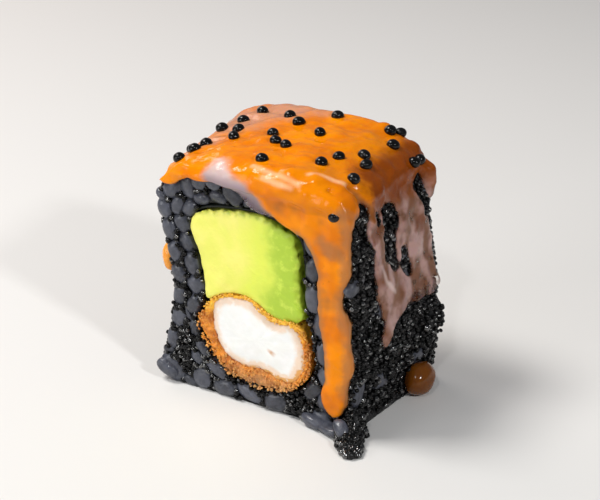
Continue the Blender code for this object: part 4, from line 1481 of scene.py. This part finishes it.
# %% Shape a filling
AVOCADO_OUTLINE = [(-11.7, 29.1), (-10.4, 31.6), (-7.1, 33.0), (-2.7, 33.7), (1.3, 34.0),
                   (5.0, 33.2), (7.8, 31.6), (8.9, 28.4), (8.8, 24.6), (9.3, 20.6),
                   (9.9, 18.2), (7.2, 16.8), (3.6, 17.2), (1.2, 18.6), (-2.0, 19.4), (-5.6, 18.7),
                   (-8.7, 17.2), (-9.2, 20.6), (-10.1, 25.0)]
AVOCADO_MIDDLE = np.array([-0.8, 25.5])
CRUST_OUTLINE = [(-10.3, 13.2), (-8.3, 16.9), (-5.4, 18.8), (-1.9, 19.6), (0.9, 19.2),
                 (2.8, 17.9), (5.4, 17.4), (8.6, 17.2), (10.6, 14.7), (11.2, 11.6),
                 (10.7, 8.4), (7.9, 5.4), (3.8, 4.1), (-0.4, 4.0), (-3.9, 4.8), (-6.4, 6.4),
                 (-8.2, 8.7), (-9.7, 11.0)]
FLESH_OUTLINE = [(-7.5, 13.9), (-7.0, 17.0), (-4.9, 18.5), (-2.0, 18.9), (0.4, 18.6), (2.1, 17.4),
                 (3.7, 16.3), (5.5, 16.3), (7.9, 16.4), (9.4, 14.5), (10.1, 12.1), (9.9, 9.7),
                 (9.0, 7.4), (7.3, 6.2), (5.2, 6.2), (3.4, 6.9), (1.6, 7.2), (-0.9, 6.9),
                 (-4.3, 7.7), (-6.6, 10.3)]
FLESH_MIDDLE = np.array([1.2, 12.3])
FLESH_SPECK = (4.0, 10.9)


def filling(loop, middle, face_relief, rim_sink, stations, bow):
    """A slab that runs right through, with a worked cut face at both ends."""
    normals = outward(loop)
    rings = []
    crown, end = 0.3, FILLING_END
    scales = [0.04, 0.12, 0.22, 0.33, 0.44, 0.55, 0.65, 0.75, 0.84, 0.91, 0.96, 0.985]

    def ring(scale, y, sign):
        placed = []
        for i, (x, z) in enumerate(loop):
            at = np.array([x, z]) - normals[i] * rim_sink(x, y, z)
            at = middle + (at - middle) * scale
            out = y
            if sign:
                edge = max(0.0, (scale - 0.9) / 0.1)
                dome = crown * (1 - scale ** 2) - bow * edge ** 2
                out = y + sign * (dome + face_relief(at[0], at[1], sign))
            placed.append((at[0], out, at[1]))
        return placed

    for scale in scales:
        rings.append(ring(scale, -end, -1))
    for y in np.linspace(-end + bow, end - bow, stations):
        rings.append(ring(1.0, y, 0))
    for scale in reversed(scales):
        rings.append(ring(scale, end, 1))
    return loft(rings)


# %% Cut the avocado
def avocado_face(x, z, sign):
    """Soft knife ripples and a shallow fold from the upper middle down to the right."""
    from_fold = abs((x - 2.4) * 0.8 + (z - 27.5) * 0.35)
    fold = 0.16 * math.exp(-(from_fold / 0.8) ** 2) * max(0.0, 1 - abs(z - 27.5) / 5)
    return (0.10 * noise.noise(Vector((x * 0.5, sign * 9, z * 0.16)))
            + 0.05 * noise.noise(Vector((x, sign * 5, z)) * 0.9) - fold)


def avocado_rim(x, y, z):
    """The torn rim: crumbly along the top and the right, smooth on the left."""
    torn = 0.2 + 0.8 * min(max((z - 30) / 2, (x - 6.5) / 1.5, 0), 1)
    crumbs = noise.noise(Vector((x, y * 1.6, z)) * 0.8) + 0.5 * noise.noise(Vector((x, y, z)) * 1.9)
    return 0.1 + 0.5 * torn * crumbs


def avocado_finish():
    made = Recipe("avocado")
    wobble = made.times(made.noise(5.0, 3.0), 6.0)
    across = made.plus(made.axis("X"), wobble)
    across = made.plus(across, made.times(made.axis("Z"), -0.08))
    butter = made.mix(made.spread(made.noise(3.5), 0.3, 0.7), (0.96, 0.91, 0.21), (0.88, 0.89, 0.16))
    colour = made.mix(made.spread(across, -1.5, 2.5), butter, (0.80, 0.88, 0.11))
    colour = made.mix(made.spread(across, 2.5, 6.5), colour, (0.45, 0.64, 0.05))
    speck = made.spread(made.noise(1.6, 5.0), 0.50, 0.68, 0.0, 0.6)
    speck = made.times(speck, made.spread(across, 0.0, 6.0))
    colour = made.mix(speck, colour, (0.74, 0.88, 0.12))
    colour = made.mix(made.attribute("torn"), colour, (0.33, 0.45, 0.02))
    made.set(Base_Color=colour)
    made.gloss(made.spread(made.noise(2.5), 0.3, 0.7, 0.3, 0.45))
    made.set(Specular_IOR_Level=0.35)
    made.depth_of_light(0.25, 1.2, (1.0, 0.9, 0.25))
    made.bump(made.noise(0.9, 5.0), 0.09)
    return made.material


def distance_to(loop, points):
    """How far each point (x, y, z) is from a loop of (x, z), seen along the roll."""
    away = np.hypot(points[:, None, 0] - loop[None, :, 0], points[:, None, 2] - loop[None, :, 1])
    return away.min(axis=1)


def mark_torn(obj):
    """Marks the crumbly top and right rims of the avocado, which are greener."""
    points = points_of(obj.data)
    near = 1 - smooth_step(distance_to(closed_outline(AVOCADO_OUTLINE, 200), points), 0.3, 1.1)
    side = smooth_step(points[:, 0], 5.0, 8.0) + 0.8 * smooth_step(points[:, 2], 31.5, 33.0)
    uneven = noise_at(points, 0.9)
    mark(obj.data, "torn", np.clip(near * side * (0.5 + 1.2 * uneven), 0, 1))


avocado_bm = filling(closed_outline(AVOCADO_OUTLINE, 300), AVOCADO_MIDDLE, avocado_face,
                     avocado_rim, stations=26, bow=0.3)
avocado = finish_piece("avocado_slab", avocado_bm, avocado_finish())
mark_torn(avocado)
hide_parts("avocado")

# %% [markdown]
# ## Tempura prawn
#
# A tempura prawn is white flesh in a crisp batter of golden crumbs. The two are separate
# pieces here: the flesh is a smooth slab, and the crust is a ring round it with crags in
# its surface and loose crumbs stuck on. The crumbs are noise-dented balls again, small
# and pressed into the ring, in a few shades from straw to brown.

# %% Flesh of the prawn
def flesh_face(x, z, sign):
    """Two soft lobes with a dip between them, and faint fibres."""
    dip = math.exp(-((x - 3.2) / 1.6) ** 2) * 0.28 * max(0.0, min(1.0, (z - 9.5) / 5))
    return (0.10 * noise.noise(Vector((x, sign * 3, z)) * 0.55)
            + 0.03 * noise.noise(Vector((x * 0.6, sign, z * 2.0))) - dip)


def flesh_finish():
    made = Recipe("prawn_flesh")
    cloud = made.noise(2.2, 4.0)
    colour = made.mix(made.spread(cloud, 0.35, 0.7), (0.90, 0.91, 0.88), (0.96, 0.97, 0.95))
    patchy = made.spread(made.noise(1.2, 4.0), 0.3, 0.6, 0.5, 1.3)
    warm = made.times(made.attribute("rim"), patchy)
    colour = made.mix(made.spread(warm, 0.02, 0.4), colour, (0.90, 0.72, 0.57))
    colour = made.mix(made.spread(warm, 0.6, 1.0), colour, (0.80, 0.42, 0.12))
    made.set(Base_Color=made.mix(made.attribute("speck"), colour, (0.60, 0.25, 0.04)))
    made.gloss(0.4)
    made.depth_of_light(0.3, 1.2, (1.0, 0.8, 0.65))
    made.bump(made.noise(0.7, 4.0), 0.05)
    return made.material


def flesh_rim(x, y, z):
    return 0.3 * noise.noise(Vector((x, y, z)) * 0.9) + 0.22 * noise.noise(Vector((x, y, z)) * 2.2)


flesh_bm = filling(closed_outline(FLESH_OUTLINE, 200), FLESH_MIDDLE, flesh_face,
                   flesh_rim, stations=12, bow=0.2)
flesh = finish_piece("prawn_flesh", flesh_bm, flesh_finish())
points = points_of(flesh.data)
near = 1 - smooth_step(distance_to(closed_outline(FLESH_OUTLINE, 160), points), 0.0, 2.2)
lower = 0.55 + 0.6 * smooth_step(points[:, 0] * 0.45 - points[:, 2] * 0.9, -9.0, -3.0)
mark(flesh.data, "rim", near * lower)
speck = np.hypot(points[:, 0] - FLESH_SPECK[0], points[:, 2] - FLESH_SPECK[1])
mark(flesh.data, "speck", 0.8 * (1 - smooth_step(speck, 0.15, 0.55)))

# %% Crust of the prawn
CRUMB_COUNT = 1900
CRUMB_SHAPES = 6
CRUST_POINTS = 240


def crust_finish():
    made = Recipe("tempura_crust")
    crag = made.noise(0.9, 5.0, 0.65)
    blotch = made.noise(2.6, 3.0)
    colour = made.mix(made.spread(blotch, 0.38, 0.62), (0.88, 0.32, 0.03), (0.56, 0.165, 0.012))
    low = made.plus(made.axis("Z"), made.times(made.noise(3.0), 5.0))
    colour = made.mix(made.spread(low, 11.0, 6.0), colour, (0.56, 0.27, 0.10))
    colour = made.mix(made.spread(low, 16.5, 19.0), colour, (1.0, 0.54, 0.05))
    # Painted highlights: the peaks of this noise turn straw-coloured, as small specks of light on the
    # crags; its troughs are darker crumbs
    colour = made.mix(made.spread(crag, 0.58, 0.75), colour, (0.88, 0.52, 0.16))
    colour = made.mix(made.spread(crag, 0.42, 0.27), colour, (0.28, 0.095, 0.015))
    made.set(Base_Color=made.mix(made.times(made.attribute("tint"), 0.6), colour,
                                 (0.88, 0.48, 0.15)))
    made.gloss(made.spread(crag, 0.3, 0.7, 0.25, 0.5))
    made.set(Specular_IOR_Level=0.4)
    made.depth_of_light(0.2, 0.8, (1.0, 0.5, 0.2))
    made.bump(made.noise(0.5, 6.0), 0.22)
    return made.material


CRUST = crust_finish()


def crag(x, y, z, size):
    return noise.fractal(Vector((x, y, z)) / size, 1.0, 2.0, 4)


def crust_loops(growth):
    """The crust's outer and inner outlines, with their points side by side."""
    outer = closed_outline(CRUST_OUTLINE, CRUST_POINTS)
    inner = grown(closed_outline(FLESH_OUTLINE, CRUST_POINTS), growth)
    start = np.argmin(np.hypot(*(inner - outer[0]).T))
    return outer, np.roll(inner, -start, axis=0)


def build_crust():
    """A ring of batter: out along its outside, over both cut ends and back inside."""
    outer, inner = crust_loops(-0.15)
    normals = outward(outer)
    rings = []
    for y in np.linspace(-FILLING_END + 0.3, FILLING_END - 0.3, 50):
        sunk = np.array([0.25 + 0.55 * crag(x, y, z, 1.5) for x, z in outer])
        rings.append(ring_at(outer - normals * sunk[:, None], y))

    def face_rings(sign, shares):
        made = []
        for share in shares:
            bulge = 0.35 * math.sin(math.pi * min(share * 1.1, 1.0))
            ring = []
            for a, b in zip(outer - normals * 0.3, inner):
                x, z = a * (1 - share) + b * share
                out = FILLING_END + bulge - 0.15 + 0.5 * crag(x, sign * 20, z, 0.8)
                ring.append((x, sign * out, z))
            made.append(ring)
        return made

    shares = [0.06, 0.16, 0.28, 0.4, 0.52, 0.64, 0.76, 0.88, 0.97]
    rings += face_rings(1, shares)
    for y in np.linspace(FILLING_END - 0.8, -FILLING_END + 0.8, 6):
        rings.append(ring_at(inner, y))
    rings += face_rings(-1, shares[::-1])
    rings.append(rings[0])
    return loft(rings, closed=True)


crust = finish_piece("prawn_crust", build_crust(), CRUST)
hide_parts("tempura_prawn")


def crumb_shape(seed):
    """An angular crumb of twenty faces, dented at random."""
    rng = random.Random(seed)
    bm = bmesh.new()
    bmesh.ops.create_icosphere(bm, subdivisions=1, radius=1)
    for vert in bm.verts:
        vert.co *= rng.uniform(0.55, 1.25)
    return shape_arrays(bm)


def scatter_crumbs():
    """Crumbs over both ends of the crust, more of them where the batter is thick."""
    rng = random.Random(SEED + 23)
    outer, inner = crust_loops(0.0)
    places, tints = [], []
    for k in range(CRUMB_COUNT):
        i = rng.randrange(CRUST_POINTS)
        share = rng.random() ** 1.4 * 1.05 - 0.05
        sign = -1 if k % 2 else 1
        x, z = outer[i] * (1 - share) + inner[i] * share
        if z > 16.5 and rng.random() < 0.55:
            continue
        size = rng.uniform(0.08, 0.28) * (1.3 if z < 9 else 1.0)
        turn = turned((rng.random() * 3, rng.random() * 3, rng.random() * 3),
                      (size, size * rng.uniform(0.5, 1.0), size * rng.uniform(0.5, 1.0)))
        y = sign * (FILLING_END + 0.1 + rng.uniform(-0.35, 0.3))
        places.append((rng.randrange(CRUMB_SHAPES), turn, np.array((x, y, z))))
        tints.append(rng.random() ** 1.8)
    shapes = [crumb_shape(k) for k in range(CRUMB_SHAPES)]
    return joined_copies("crust_crumbs", shapes, places, CRUST, tints, smooth=False)


scatter_crumbs()

# %% [markdown]
# ## Loose drops of sauce
#
# One fat drop hangs low on the right side and a small one on the left. Each is a ball,
# stretched and pressed into the roe behind it.

# %% Hang the drops
# Each drop: name, middle, half sizes, and its finish's name and two colours; the foot drop's colours are
# the sauce's orange painted dark brown as shade
DROPS = [("foot_drop", (21.4, 5.2, 3.0), (2.3, 3.1, 2.9),
          ("shaded_drop", (0.12, 0.034, 0.003), (0.18, 0.055, 0.005))),
         ("side_drop", (-16.8, -10.6, 22.3), (1.5, 1.9, 2.7),
          ("bright_drop", (0.85, 0.30, 0.03), (0.90, 0.38, 0.06)))]


def drop_finish(name, one, two):
    made = Recipe(name)
    made.set(Base_Color=made.mix(made.noise(1.6), one, two), IOR=1.36)
    made.gloss(0.14)
    made.depth_of_light(0.15, 1.0, (1.0, 0.4, 0.1))
    return made.material


def hang_drop(name, centre, sizes, colours):
    bm = bmesh.new()
    for vert in bmesh.ops.create_icosphere(bm, subdivisions=5, radius=1)["verts"]:
        wave = 1 + 0.09 * noise.noise(vert.co * 1.2 + Vector(centre))
        vert.co = Vector(np.array(vert.co) * sizes * wave) + Vector(centre)
        vert.co.z = max(vert.co.z, 0.05)
    return finish_piece(name, bm, drop_finish(*colours))


for drop in DROPS:
    hang_drop(*drop)
